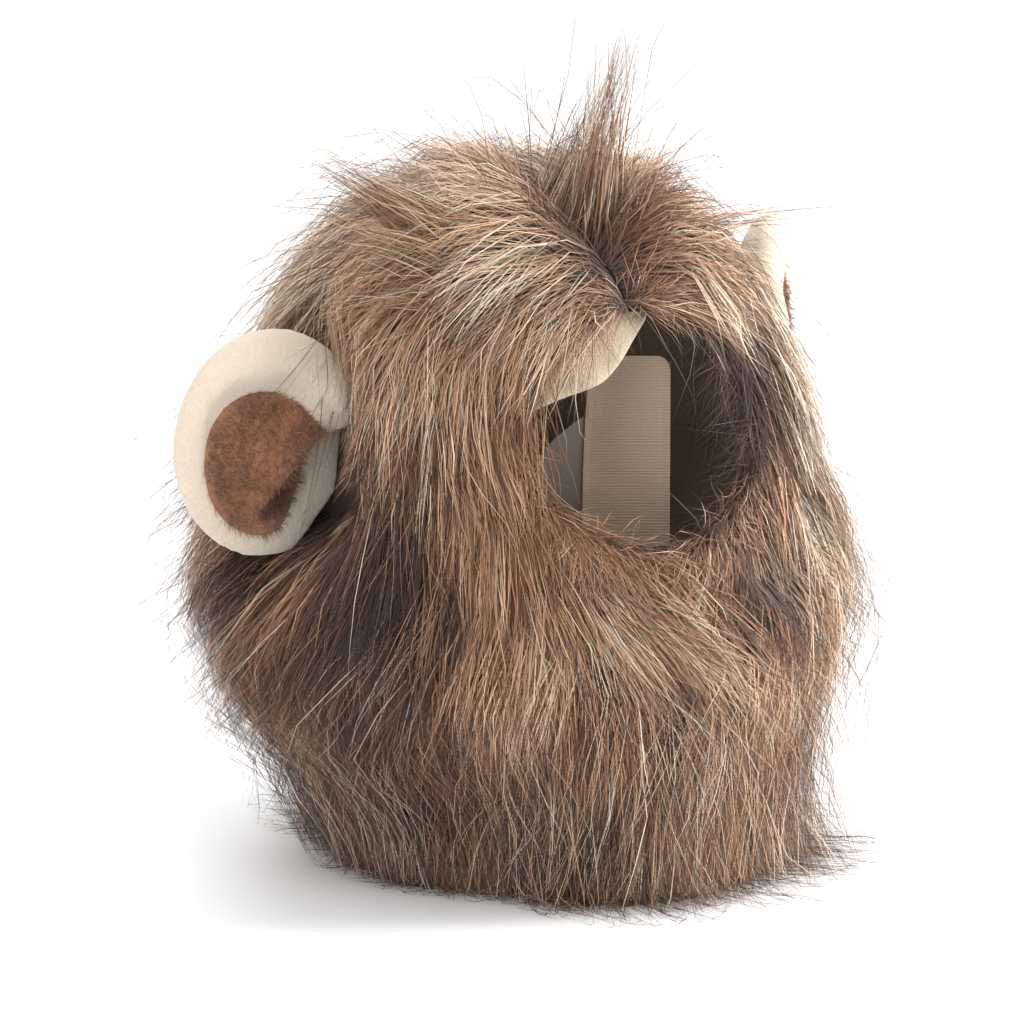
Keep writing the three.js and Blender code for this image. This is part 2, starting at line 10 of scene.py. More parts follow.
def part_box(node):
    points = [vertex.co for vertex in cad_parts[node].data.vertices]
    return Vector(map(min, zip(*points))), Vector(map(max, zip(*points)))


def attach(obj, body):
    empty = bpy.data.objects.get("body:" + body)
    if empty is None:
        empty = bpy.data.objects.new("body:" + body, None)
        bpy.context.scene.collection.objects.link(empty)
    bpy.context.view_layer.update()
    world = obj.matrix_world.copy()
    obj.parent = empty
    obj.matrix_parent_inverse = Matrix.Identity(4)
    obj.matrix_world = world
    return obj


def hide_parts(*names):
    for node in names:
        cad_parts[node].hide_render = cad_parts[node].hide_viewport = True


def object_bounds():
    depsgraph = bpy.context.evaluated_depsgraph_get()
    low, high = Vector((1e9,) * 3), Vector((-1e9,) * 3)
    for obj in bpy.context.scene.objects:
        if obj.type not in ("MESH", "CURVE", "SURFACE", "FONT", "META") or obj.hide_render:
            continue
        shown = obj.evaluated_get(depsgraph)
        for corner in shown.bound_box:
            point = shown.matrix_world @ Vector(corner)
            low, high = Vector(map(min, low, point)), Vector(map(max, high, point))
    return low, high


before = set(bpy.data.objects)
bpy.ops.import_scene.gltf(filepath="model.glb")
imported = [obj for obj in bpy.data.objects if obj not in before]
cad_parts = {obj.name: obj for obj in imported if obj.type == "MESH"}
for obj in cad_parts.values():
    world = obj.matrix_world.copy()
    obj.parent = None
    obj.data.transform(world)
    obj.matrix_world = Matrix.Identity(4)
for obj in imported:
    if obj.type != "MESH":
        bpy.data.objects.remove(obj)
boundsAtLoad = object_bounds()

random = np.random.default_rng(41)
down = np.array([0.0, 0.0, -1.0])
panels = ((-1, "left"), (1, "right"))

# the hood's wall, as in the part's source, in metres
hood = {
    "width": 0.166,
    "height": 0.235,
    "neckShare": 0.795,       # neck rim's width over the belly's
    "bellyHeight": 0.562,     # share of the height
    "frontDepth": 0.964,      # half depths over the half width
    "backDepth": 0.916,
    "neckDepth": 0.84,
    "crownFullness": 0.56,
}
halfWidth = hood["width"] / 2
frontDepth = hood["frontDepth"] * halfWidth
backDepth = hood["backDepth"] * halfWidth
bellyHeight = hood["bellyHeight"] * hood["height"]

face = {"width": 0.100, "height": 0.084, "x": 0.003, "z": 0.736 * hood["height"]}
faceFoot = face["z"] - face["height"] / 2

# how far the seam under the opening lies from the middle, by share of the opening's foot height
seamReach = 0.042
seamHeights = [0, 0.24, 0.46, 0.68, 0.84, 1]
seamAcross = [-1.0, -0.86, -0.55, -0.02, 0.3, 0.07]

liningLow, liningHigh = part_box("hood_lining")
hoodMiddle = np.array([(liningLow.x + liningHigh.x) / 2, liningLow.y + frontDepth, 0.0])


def smooth(x):
    x = np.clip(x, 0, 1)
    return x * x * (3 - 2 * x)


def blend(a, b, share):
    return a + (b - a) * share


def varied(count, middle, spread, low, high):
    return np.clip(random.normal(middle, spread, count), low, high)


def unit(v):
    return v / np.maximum(np.linalg.norm(v, axis=-1, keepdims=True), 1e-9)


def dot(a, b):
    return np.sum(a * b, axis=-1)


def wallPoint(share, azimuth):
    swell = np.sin(np.clip(share / 0.5, 0, 1) * math.pi / 2)
    angle = np.clip(share / 0.5 - 1, 0, 1) * math.pi / 2
    shrink = np.maximum(np.cos(angle), 0) ** hood["crownFullness"]
    low = share < 0.5
    width = halfWidth * np.where(low, blend(hood["neckShare"], 1, swell), shrink)
    depth = np.where(low, blend(hood["neckDepth"], 1, swell), shrink)
    height = np.where(low, bellyHeight * share / 0.5,
                      bellyHeight + (hood["height"] - bellyHeight) * np.sin(angle))
    across = np.sin(azimuth)
    depth = depth * np.where(across < 0, frontDepth, backDepth)
    return np.stack([width * np.cos(azimuth), depth * across, height], axis=-1)


def wallNormal(share, azimuth):
    step = 0.01
    s = np.clip(share, step, 1 - 2 * step)
    up = wallPoint(s + step, azimuth) - wallPoint(s - step, azimuth)
    around = wallPoint(s, azimuth + step) - wallPoint(s, azimuth - step)
    return unit(np.cross(around, up))


def wallPlace(points):
    # share and azimuth of the wall under points outside it
    depth = np.where(points[..., 1] < 0, frontDepth, backDepth)
    x = points[..., 0] / halfWidth
    y = points[..., 1] / depth
    above = (points[..., 2] - bellyHeight) / (hood["height"] - bellyHeight)
    out = np.hypot(x, y) ** (1 / hood["crownFullness"])
    high = 0.5 + 0.5 * np.arctan2(np.maximum(above, 0), np.maximum(out, 1e-6)) / (math.pi / 2)
    low = 0.5 * np.clip(points[..., 2] / bellyHeight, 0, 1)
    return np.where(above > 0, high, low), np.arctan2(y, x)


def onWall(share, azimuth, out=0.0):
    return wallPoint(share, azimuth) + wallNormal(share, azimuth) * out


def shareAt(height):
    shares = np.linspace(0, 0.99, 400)
    return np.interp(height, wallPoint(shares, np.zeros(400))[:, 2], shares)


def faceDistance(points):
    x = (points[..., 0] - face["x"]) / (face["width"] / 2)
    z = (points[..., 2] - face["z"]) / (face["height"] / 2)
    mean = (face["width"] + face["height"]) / 4
    return np.where(points[..., 1] > 0, 0.4, (np.hypot(x, z) - 1) * mean)


def seamX(height):
    return seamReach * np.interp(height / faceFoot, seamHeights, seamAcross, right=0)


def addObject(name, data):
    piece = bpy.data.objects.new(name, data)
    bpy.context.scene.collection.objects.link(piece)
    return piece


def meshPiece(name, points, faces):
    mesh = bpy.data.meshes.new(name)
    mesh.from_pydata((np.asarray(points) + hoodMiddle).tolist(), [], faces)
    mesh.polygons.foreach_set("use_smooth", [True] * len(mesh.polygons))
    return addObject(name, mesh)


def pointsOf(piece):
    co = np.zeros(len(piece.data.vertices) * 3)
    piece.data.vertices.foreach_get("co", co)
    return co.reshape(-1, 3)


def setPoints(piece, points):
    piece.data.vertices.foreach_set("co", points.ravel())
    piece.data.update()


def only(piece):
    bpy.ops.object.select_all(action="DESELECT")
    piece.select_set(True)
    bpy.context.view_layer.objects.active = piece


def modify(piece, kind, **settings):
    only(piece)
    modifier = piece.modifiers.new(kind.lower(), kind)
    for key, value in settings.items():
        setattr(modifier, key, value)
    bpy.ops.object.modifier_apply(modifier=modifier.name)


def editWhole(piece, operator, **settings):
    only(piece)
    bpy.ops.object.mode_set(mode="EDIT")
    bpy.ops.mesh.select_all(action="SELECT")
    operator(**settings)
    bpy.ops.object.mode_set(mode="OBJECT")


def sheetGrid(name, columns, rows, pointAt):
    # a grid primitive whose points are laid on the cloth's curve
    bpy.ops.object.select_all(action="DESELECT")
    bpy.ops.mesh.primitive_grid_add(x_subdivisions=columns, y_subdivisions=rows, size=1)
    piece = bpy.context.object
    piece.name = piece.data.name = name
    grid = pointsOf(piece) + 0.5
    setPoints(piece, pointAt(grid[:, 0], grid[:, 1]) + hoodMiddle)
    bpy.ops.object.shade_smooth()
    return piece


# ---- materials

class Shade:
    # a socket in shader arithmetic

    def __init__(self, tree, socket):
        self.tree = tree
        self.socket = socket

    def math(self, operation, first, second):
        node = self.tree.nodes.new("ShaderNodeMath")
        node.operation = operation
        for index, item in enumerate((first, second)):
            if isinstance(item, Shade):
                self.tree.links.new(item.socket, node.inputs[index])
            else:
                node.inputs[index].default_value = item
        return Shade(self.tree, node.outputs[0])

    def __add__(self, other):
        return self.math("ADD", self, other)

    def __radd__(self, other):
        return self.math("ADD", other, self)

    def __sub__(self, other):
        return self.math("SUBTRACT", self, other)

    def __rsub__(self, other):
        return self.math("SUBTRACT", other, self)

    def __mul__(self, other):
        return self.math("MULTIPLY", self, other)

    def __rmul__(self, other):
        return self.math("MULTIPLY", other, self)


class Finish:
    # a material with one Principled shader, and the nodes that feed it

    def __init__(self, name, **constants):
        self.material = bpy.data.materials.new(name)
        self.material.use_nodes = True
        self.tree = self.material.node_tree
        self.shader = self.tree.nodes["Principled BSDF"]
        for key, value in constants.items():
            self.shader.inputs[key.replace("_", " ")].default_value = value

    def node(self, kind, settings=None, sockets=None, output=0):
        node = self.tree.nodes.new(kind)
        for key, value in (settings or {}).items():
            if key == "stops":
                ramp = node.color_ramp
                while len(ramp.elements) < len(value):
                    ramp.elements.new(0.5)
                for element, (place, colour) in zip(ramp.elements, value):
                    element.position = place
                    element.color = colour if len(colour) == 4 else (*colour, 1)
            else:
                setattr(node, key, value)
        for key, value in (sockets or {}).items():
            if isinstance(value, Shade):
                self.tree.links.new(value.socket, node.inputs[key])
            else:
                node.inputs[key].default_value = value
        return Shade(self.tree, node.outputs[output])

    def mix(self, share, first, second):
        colours = [c if isinstance(c, Shade) else (*c, 1) for c in (first, second)]
        return self.node("ShaderNodeMix", {"data_type": "RGBA"},
                         {0: share, 6: colours[0], 7: colours[1]}, 2)

    def ramp(self, value, stops):
        return self.node("ShaderNodeValToRGB", {"stops": stops}, {0: value})

    def rise(self, value, start, end):
        return self.node("ShaderNodeMapRange", {"interpolation_type": "SMOOTHSTEP"},
                         {0: value, 1: start, 2: end})

    def place(self):
        return self.node("ShaderNodeTexCoord", output=3)

    def noise(self, place, scale, detail=3.0, roughness=0.5):
        return self.node("ShaderNodeTexNoise", None,
                         {"Vector": place, "Scale": scale, "Detail": detail, "Roughness": roughness})

    def feed(self, socket, value):
        self.tree.links.new(value.socket, self.shader.inputs[socket])

    def bump(self, height, strength, distance):
        normal = self.node("ShaderNodeBump", None,
                           {"Strength": strength, "Distance": distance, "Height": height})
        self.feed("Normal", normal)

    def dress(self, *pieces):
        for piece in pieces:
            piece.data.materials.clear()
            piece.data.materials.append(self.material)


def colour(red, green, blue):
    # screen colour to the linear one that nodes take
    return tuple(((c / 255 + 0.055) / 1.055) ** 2.4 if c > 10 else c / 255 / 12.92
                 for c in (red, green, blue))


def clothFinish(name, grain, cloud, colours, bump, lit=None, cloudRise=None, **constants):
    # grain and cloud: scale, detail and roughness of a noise; bump: share of each, strength and depth;
    # lit: where the grain begins and ends to take the third colour, and how much of it
    cloth = Finish(name, **constants)
    place = cloth.place()
    fine, broad = cloth.noise(place, *grain), cloth.noise(place, *cloud)
    share = cloth.rise(broad, *cloudRise) if cloudRise else broad
    base = cloth.mix(share, colour(*colours[0]), colour(*colours[1]))
    if lit:
        base = cloth.mix(cloth.rise(fine, *lit[:2]) * lit[2], base, colour(*colours[2]))
    cloth.feed("Base Color", base)
    cloth.bump(fine * bump[0] + broad * bump[1], bump[2], bump[3])
    return cloth


def furFinish(name):
    fur = Finish(name, Roughness=0.5, Specular_IOR_Level=0.3, Sheen_Weight=0.08, Sheen_Roughness=0.4)
    hair = fur.node("ShaderNodeAttribute", {"attribute_name": "hair"})
    along = fur.node("ShaderNodeSeparateColor", None, {0: hair})
    tone = Shade(fur.tree, along.socket.node.outputs[1])
    dark = Shade(fur.tree, along.socket.node.outputs[2])
    middle = fur.ramp(tone, [
        (0.0, colour(58, 40, 35)),
        (0.2, colour(120, 79, 60)),
        (0.42, colour(192, 141, 106)),
        (0.64, colour(232, 191, 154)),
        (0.84, colour(247, 223, 194)),
        (1.0, colour(254, 241, 222)),
    ])
    rooted = fur.mix(fur.rise(along, 0.08, 0.62), colour(74, 52, 42), middle)
    warm = fur.noise(fur.place(), 14.0, 2.0)
    warmed = fur.mix(fur.rise(warm, 0.45, 0.75) * 0.35, rooted, colour(168, 112, 72))
    tipped = fur.mix(fur.rise(along, 0.55, 0.95) * dark, warmed, colour(46, 36, 34))
    # the dark share darkens the whole strand: darker fur at random, and painted shade in the shaded patches
    # and along the seam
    fur.feed("Base Color", fur.mix(dark * 0.55, tipped, colour(60, 46, 42)))
    return fur


# ---- long hair

mane = {
    "strands": 92000,
    "length": 0.076, "neckLength": 0.44,
    "rootLift": 66, "tipLift": 18,     # degrees off the wall
    "sag": 0.40, "scatter": 0.24,
    "width": 0.00040, "uneven": 0.22, "widths": (0.5, 1.6),
    "press": 1, "pressSpread": 0.12, "pressLimits": (0.7, 1.4),
    "bigLocks": 460, "smallLocks": 5200,
    "bigPull": 0.45, "smallPull": 0.56,
    "wave": 0.0018,
    "shares": [0, 0.16, 0.40, 0.70, 1],   # where along its length a strand has its points
    "neckPoints": [0, 2, 3, 4],           # the ones that a strand of the lower half keeps
}
guard = {
    "strands": 11500, "length": 0.098, "neckLength": 0.62, "rootLift": 58, "tipLift": 28, "sag": 0.16,
    "scatter": 0.3, "wave": 0.0032, "width": 0.00023, "uneven": 0.2, "widths": (0.6, 1.5),
    "press": 1.5, "pressSpread": 0.32, "pressLimits": (0.9, 2.6),
    "darkShare": 0.62, "darkTone": 1, "darkMore": -0.25, "paleMore": 0.28, "paleDark": 0.25,
    "shares": [0, 0.12, 0.28, 0.46, 0.64, 0.82, 1],
}
wisps = {
    "strands": 4600, "length": 0.112, "neckLength": 0.85, "rootLift": 60, "tipLift": 40, "sag": 0.12,
    "scatter": 0.34, "wave": 0.0022, "width": 0.00023, "uneven": 0.2, "widths": (0.6, 1.5),
    "pressEven": (1.4, 2.9),
    "darkShare": 0.72, "darkTone": 0.3, "darkMore": 0, "paleMore": 0.15, "paleDark": 0.2,
    "shares": [0, 0.15, 0.32, 0.5, 0.68, 0.84, 1],
}
growSteps = 11
# how the hair changes by place: heights, reaches and lengths in metres, turns in degrees, the rest shares
byPlace = {
    "rimReach": 0.034, "rimLength": 0.68, "rimLift": 0.40,
    "neckHeight": 0.05, "neckLiftHeight": 0.04, "neckLift": 0.45,
    "crownFrom": 0.19, "crownReach": 0.04, "crownLift": 0.9,
    "leftSide": 186, "footLength": 0.55, "footFrom": 0.02, "footReach": 0.06,
    "flareLift": 16, "flareFrom": 0.07, "flareTo": 0.165, "flareReach": 0.03,
    "shortest": 0.008, "rootOut": 0.0025,
}
# how far big locks, small locks and single hairs differ from the fur about them
vary = {"length": (0.10, 0.08, 0.10), "rootLift": (0.10, 0.08), "tipDegrees": (9, 7, 7),
        "drift": (0.24, 0.18), "tone": (0.15, 0.12, 0.17), "turns": (0.6, 1.5)}
# most hair is a little dark at random, and hair in a dark patch more so, which is partly darker fur and
# partly painted shade
darkness = {"power": 2.5, "most": 0.9, "patch": 0.75, "leastInPatch": 0.4}
# the fur's middle tone, and how it is lighter on the right, which is painted light, and on the crown
furTone = {"middle": 0.48, "right": 0.38, "rightSide": 5, "rightReach": 38, "rightFade": 30, "crown": 0.17,
           "patch": 0.46}
whorl = np.array([0.0, -0.725 * frontDepth, 1.047 * hood["height"]])
flowSettings = {
    "reach": 0.29, "hangAtCrown": 0.02, "hangLow": 1.35, "spreadLow": 0.24,
    "sweep": 0.8, "sweepDrop": 0.04, "sweepFoot": 0.09, "sweepWidth": 0.062,
    "parting": 1.1, "partingRise": 0.03, "partingWidth": 0.05,
    "rimReach": 0.034, "rimPush": 0.12,
    # beside an ear, in its radii from its root
    "earMiddle": 0.6, "earWide": 1.2, "earTall": 1.7, "earFrom": 0.3, "earFade": 0.8, "earBack": -0.2,
    "earHang": 0.35,
}

# ears as in the part's source
ear = {
    "radius": 0.042, "tall": 1.04, "rim": 0.015, "middle": 0.007, "cup": 0.007,
    "overWall": 0.0020,    # what rests on the hood's wall clears its cloth
    "cutRadius": 1.02, "cutFrom": 0.13, "cutBack": -0.3,    # where hair ends before it, in radii
    "left": {"side": -1, "azimuth": 174, "height": 0.7575, "droop": -14, "turn": -4,
             "cutSlant": 0.6, "cutAhead": 2.0},
    "right": {"side": 1, "azimuth": -28, "height": 0.8085, "droop": 6, "turn": 50,
              "cutSlant": 0.0, "cutAhead": 0.9},
}


def earMatrix(which):
    place = ear[which]
    base = onWall(np.array(shareAt(place["height"] * hood["height"])),
                  np.array(math.radians(place["azimuth"])), 0.0003)
    return (Matrix.Translation(base)
            @ Matrix.Rotation(place["side"] * math.radians(place["turn"]), 4, "Z")
            @ Matrix.Rotation(-place["side"] * math.radians(place["droop"]), 4, "Y")
            @ Matrix.Rotation(math.radians(90), 4, "X")
            @ Matrix.Diagonal((place["side"], 1, 1, 1)))


earPlaces = {which: np.array(earMatrix(which)) for which in ("left", "right")}


def intoEar(points, which):
    inverse = np.linalg.inv(earPlaces[which])
    return points @ inverse[:3, :3].T + inverse[:3, 3]


def outOfEar(points, which):
    place = earPlaces[which]
    return points @ place[:3, :3].T + place[:3, 3]


def hairFlow(points, normals, side):
    away = points - whorl
    distance = np.linalg.norm(away, axis=-1)
    hang = smooth(distance / flowSettings["reach"])
    flow = away / np.maximum(distance, 1e-6)[:, None] * blend(1, flowSettings["spreadLow"], hang)[:, None]
    flow = flow + down * blend(flowSettings["hangAtCrown"], flowSettings["hangLow"], hang)[:, None]
    x, y, z = points.T
    isFront = y < 0
    # under the opening both panels sweep to the overlap
    below = smooth((face["z"] - z) / flowSettings["sweepDrop"]) * smooth(z / flowSettings["sweepFoot"])
    middle = 1 - smooth(np.abs(x - face["x"]) / flowSettings["sweepWidth"])
    flow[:, 0] += np.where(isFront, -side * flowSettings["sweep"] * middle * below, 0)
    # over the opening the hair parts at the seam
    over = smooth((z - face["z"]) / flowSettings["partingRise"]) \
        * (1 - smooth(np.abs(x) / flowSettings["partingWidth"]))
    flow[:, 0] += np.where(isFront, side * flowSettings["parting"] * over, 0)
    # and it goes round the opening
    edge = np.stack([(x - face["x"]) / (face["width"] / 2) ** 2, np.zeros_like(x),
                     (z - face["z"]) / (face["height"] / 2) ** 2], axis=-1)
    edge = unit(edge)
    near = np.where(isFront, 1 - smooth(faceDistance(points) / flowSettings["rimReach"]), 0)
    inward = np.minimum(dot(flow, edge), 0)
    flow = flow + edge * (near * (flowSettings["rimPush"] - inward))[:, None]
    # hair beside an ear's root passes it instead of lying over it
    for which in ("left", "right"):
        local = intoEar(points, which) / ear["radius"]
        reach = np.hypot((local[:, 0] - flowSettings["earMiddle"]) / flowSettings["earWide"],
                         local[:, 1] / flowSettings["earTall"])
        beside = 1 - smooth((reach - flowSettings["earFrom"]) / flowSettings["earFade"])
        beside = beside * (local[:, 2] > flowSettings["earBack"])
        outward = earPlaces[which][:3, 0]
        along = np.maximum(dot(flow, outward), 0) * beside
        flow = flow - outward * along[:, None] + down * (beside * flowSettings["earHang"])[:, None]
    flow = flow - normals * dot(flow, normals)[:, None]
    return unit(flow)


# the hair may leave the solids' box by this much, less what is spare
boxLimit = {"share": 0.03, "more": 0.010, "spare": 0.001}
onFloor = {"height": 0.0012, "lowest": 0.0008, "spread": 1.1}
boxLow = np.array(boundsAtLoad[0])
boxHigh = np.array(boundsAtLoad[1])
boxRoom = (boxHigh - boxLow) * boxLimit["share"] + boxLimit["more"]
hairLow = boxLow - boxRoom + boxLimit["spare"] - hoodMiddle
hairHigh = boxHigh + boxRoom - boxLimit["spare"] - hoodMiddle
hairLow[2] = onFloor["lowest"]


def keepInside(points, ease=0.012):
    # points that near the room's limits are eased back
    over = np.maximum(points - (hairHigh - ease), 0)
    points = np.where(over > 0, hairHigh - ease + ease * np.tanh(over / ease), points)
    under = np.maximum(hairLow + ease - points, 0)
    under[..., 2] = 0
    points = np.where(under > 0, hairLow + ease - ease * np.tanh(under / ease), points)
    points[..., 2] = np.maximum(points[..., 2], hairLow[2])
    return points


# how far the dense hair stands off the wall, by height over the floor
standOff = {
    "z": [0.0, 0.020, 0.036, 0.059, 0.081, 0.100, 0.130, 0.170, 0.207, 0.235, 0.262],
    "any": [0.026, 0.028, 0.030, 0.034, 0.043, 0.050, 0.054, 0.050, 0.046, 0.038, 0.036],
    "left": [0.008, 0.010, 0.014, 0.036, 0.062, 0.074, 0.076, 0.056, 0.048, 0.040, 0.038],
    "right": [0.024, 0.019, 0.020, 0.024, 0.030, 0.038, 0.044, 0.034, 0.025, 0.028, 0.034],
    "leftAzimuth": 186, "leftReach": 40, "leftFade": 34,
    "rightAzimuth": -24, "rightReach": 25, "rightFade": 40,
    "earReach": 22, "earTall": 0.046, "earShare": 0.14,
}


def turnedFrom(azimuth, middle):
    # degrees between an azimuth in radians and one in degrees
    return np.abs((np.degrees(azimuth) - middle + 180) % 360 - 180)


def hairRoom(azimuth, height):
    room = np.interp(height, standOff["z"], standOff["any"])
    for hand in ("left", "right"):
        turned = turnedFrom(azimuth, standOff[f"{hand}Azimuth"])
        share = 1 - smooth((turned - standOff[f"{hand}Reach"]) / standOff[f"{hand}Fade"])
        room = blend(room, np.interp(height, standOff["z"], standOff[hand]), share)
    root = earPlaces["left"][:3, 3]
    turned = turnedFrom(azimuth, ear["left"]["azimuth"] + 6)
    reach = np.hypot(turned / standOff["earReach"], (height - root[2]) / standOff["earTall"])
    room = room * blend(standOff["earShare"], 1, smooth((reach - 0.5) / 0.75))
    return room


def pressDown(curves, room):
    share, azimuth = wallPlace(curves)
    wall = wallPoint(share, azimuth)
    away = curves - wall
    out = np.linalg.norm(away, axis=-1, keepdims=True)
    limit = (hairRoom(azimuth, curves[..., 2]) * room[:, None])[..., None]
    pressed = np.where(out > limit * 0.5, limit * (0.5 + 0.5 * np.tanh((out / limit - 0.5) / 0.5)), out)
    return wall + away * pressed / np.maximum(out, 1e-6)


def growHair(start, side, style, count):
    here = start
    points = [start]
    step = (style["length"] / (count - 1))[:, None]
    for index in range(count - 1):
        along = (index + 0.5) / (count - 1)
        share, azimuth = wallPlace(here)
        normal = wallNormal(share, azimuth)
        flow = hairFlow(here, normal, side)
        across = np.cross(normal, flow)
        heading = flow * np.cos(style["drift"])[:, None] + across * np.sin(style["drift"])[:, None]
        lift = blend(style["rootLift"], style["tipLift"], along ** 0.8)
        direction = heading * np.cos(lift)[:, None] + normal * np.sin(lift)[:, None]
        direction = unit(direction + down * (style["sag"] * along ** 1.5)[:, None])
        here = here + direction * step
        # on the floor it spreads outwards
        sunk = np.maximum(onFloor["height"] - here[:, 2], 0)
        outward = unit(here * np.array([1, 1, 0]))
        here = here + outward * (sunk * onFloor["spread"])[:, None]
        here[:, 2] = np.maximum(here[:, 2], onFloor["height"])
        points.append(here)
    return np.stack(points, axis=1)


def sampleWall(count, side):
    # even over the panel's cloth
    shares = np.linspace(0.004, 0.996, 260)
    azimuths = np.linspace(-math.pi, math.pi, 480, endpoint=False)
    s, a = np.meshgrid(shares, azimuths, indexing="ij")
    up = wallPoint(s + 0.001, a) - wallPoint(s - 0.001, a)
    around = wallPoint(s, a + 0.001) - wallPoint(s, a - 0.001)
    area = np.linalg.norm(np.cross(up, around), axis=-1)
    points = wallPoint(s, a)
    seam = np.where(points[..., 1] < 0, seamX(points[..., 2]), 0)
    weight = area * ((points[..., 0] - seam) * side > 0) * (faceDistance(points) > 0.0005)
    cells = random.choice(weight.size, count, p=(weight / weight.sum()).ravel())
    share = s.ravel()[cells] + random.uniform(-0.5, 0.5, count) * (shares[1] - shares[0])
    azimuth = a.ravel()[cells] + random.uniform(-0.5, 0.5, count) * (azimuths[1] - azimuths[0])
    return np.clip(share, 0.004, 0.996), azimuth


def hairStyle(points, settings, big, small, own):
    # length, lift and sag by place; big, small and own are random rows of the locks and the strand
    x, y, z = points.T
    here = byPlace
    fromLeft = turnedFrom(np.arctan2(y, x), here["leftSide"])
    edge = smooth(faceDistance(points) / here["rimReach"])
    neck = smooth(z / here["neckHeight"])
    length = settings["length"] * blend(here["rimLength"], 1, edge) * blend(settings["neckLength"], 1, neck)
    leftFoot = (1 - smooth((fromLeft - 30) / 40)) * (1 - smooth((z - here["footFrom"]) / here["footReach"]))
    length = length * blend(1, here["footLength"], leftFoot)
    bigLength, smallLength, ownLength = vary["length"]
    length = length * (1 + bigLength * big[:, 0] + smallLength * small[:, 0] + ownLength * own[:, 0])
    crown = smooth((z - here["crownFrom"]) / here["crownReach"])
    raised = blend(here["rimLift"], 1, edge) * blend(1, here["crownLift"], crown) \
        * blend(here["neckLift"], 1, smooth(z / here["neckLiftHeight"]))
    flare = (1 - smooth((fromLeft - 25) / 40)) * smooth((z - here["flareFrom"]) / here["flareReach"]) \
        * (1 - smooth((z - here["flareTo"]) / here["flareReach"]))
    bigLift, smallLift = vary["rootLift"]
    uneven = 1 + bigLift * big[:, 1] + smallLift * small[:, 1]
    rootLift = np.radians(settings["rootLift"]) * raised * uneven
    bigTip, smallTip, ownTip = vary["tipDegrees"]
    tipLift = np.radians(settings["tipLift"] + here["flareLift"] * flare + bigTip * big[:, 1]
                         + smallTip * small[:, 1] + ownTip * own[:, 1])
    bigDrift, smallDrift = vary["drift"]
    drift = bigDrift * big[:, 2] + smallDrift * small[:, 2] + settings["scatter"] * own[:, 2]
    return {"length": np.maximum(length, here["shortest"]), "rootLift": rootLift,
            "tipLift": tipLift * raised, "drift": drift, "sag": np.full(len(points), settings["sag"])}


def nearest(points, centres):
    tree = KDTree(len(centres))
    for index, centre in enumerate(centres):
        tree.insert(centre, index)
    tree.balance()
    return np.array([tree.find(point)[1] for point in points])


def cutAtEars(curves):
    # hair that would cross an ear's face ends before it, and short rests are dropped
    count = curves.shape[1]
    end = np.full(len(curves), count - 1.0)
    for which in ("left", "right"):
        local = intoEar(curves, which) / ear["radius"]
        across = local[..., 0] - np.maximum(local[..., 2], 0) * ear[which]["cutSlant"]
        radius = np.hypot(across - 1, local[..., 1] / ear["tall"])
        inside = (radius < ear["cutRadius"]) & (across > ear["cutFrom"]) \
            & (local[..., 2] > ear["cutBack"]) & (local[..., 2] < ear[which]["cutAhead"])
        first = np.where(inside.any(1), inside.argmax(1) - 0.55, count - 1)
        end = np.minimum(end, first)
    kept = end > 1.2
    curves, end = curves[kept], end[kept]
    places = np.linspace(0, 1, count)[None, :] * end[:, None]
    low = np.minimum(places.astype(int), count - 2)
    rest = (places - low)[..., None]
    rows = np.arange(len(curves))[:, None]
    return blend(curves[rows, low], curves[rows, low + 1], rest), kept


# dark patches of the fur: azimuth and height of the middle, reach in degrees and metres, and darkness; some
# are darker fur, and some are painted shade, in the fold under the opening and beside the opening's right
# rim
darkPatches = [
    (-153, 0.130, 18, 0.056, 1.0),
    (-142, 0.075, 12, 0.035, 0.8),
    (-51, 0.192, 7, 0.032, 1.0),
    (-112, 0.050, 9, 0.035, 0.7),
    (-60, 0.120, 9, 0.030, 0.3),
    (178, 0.130, 14, 0.030, 0.4),
    (-88, 0.229, 8, 0.012, 0.9),
    (120, 0.120, 14, 0.050, 0.6),
    (40, 0.095, 16, 0.050, 0.6),
    (75, 0.190, 14, 0.035, 0.5),
]
overlap = {"inside": 0.003, "reach": 0.010, "dark": 0.9}    # shadowed hair along the front seam


def patchShade(points):
    azimuth = np.arctan2(points[:, 1], points[:, 0])
    shade = np.zeros(len(points))
    for middle, height, wide, tall, dark in darkPatches:
        reach = np.hypot(turnedFrom(azimuth, middle) / wide, (points[:, 2] - height) / tall)
        shade = np.maximum(shade, dark * (1 - smooth((reach - 0.4) / 0.9)))
    fromSeam = np.abs(points[:, 0] - seamX(points[:, 2]) - overlap["inside"])
    seamed = (1 - smooth(fromSeam / overlap["reach"])) * (points[:, 1] < 0) * (points[:, 2] < faceFoot)
    return np.maximum(shade, seamed * overlap["dark"])


# how wide a strand is along its length, how far it turns, and how much its shading follows the wall
strandForm = {"along": [0, 0.3, 0.7, 1], "widths": [0.8, 1, 0.72, 0.1], "turn": 1.0, "soft": 0.9}


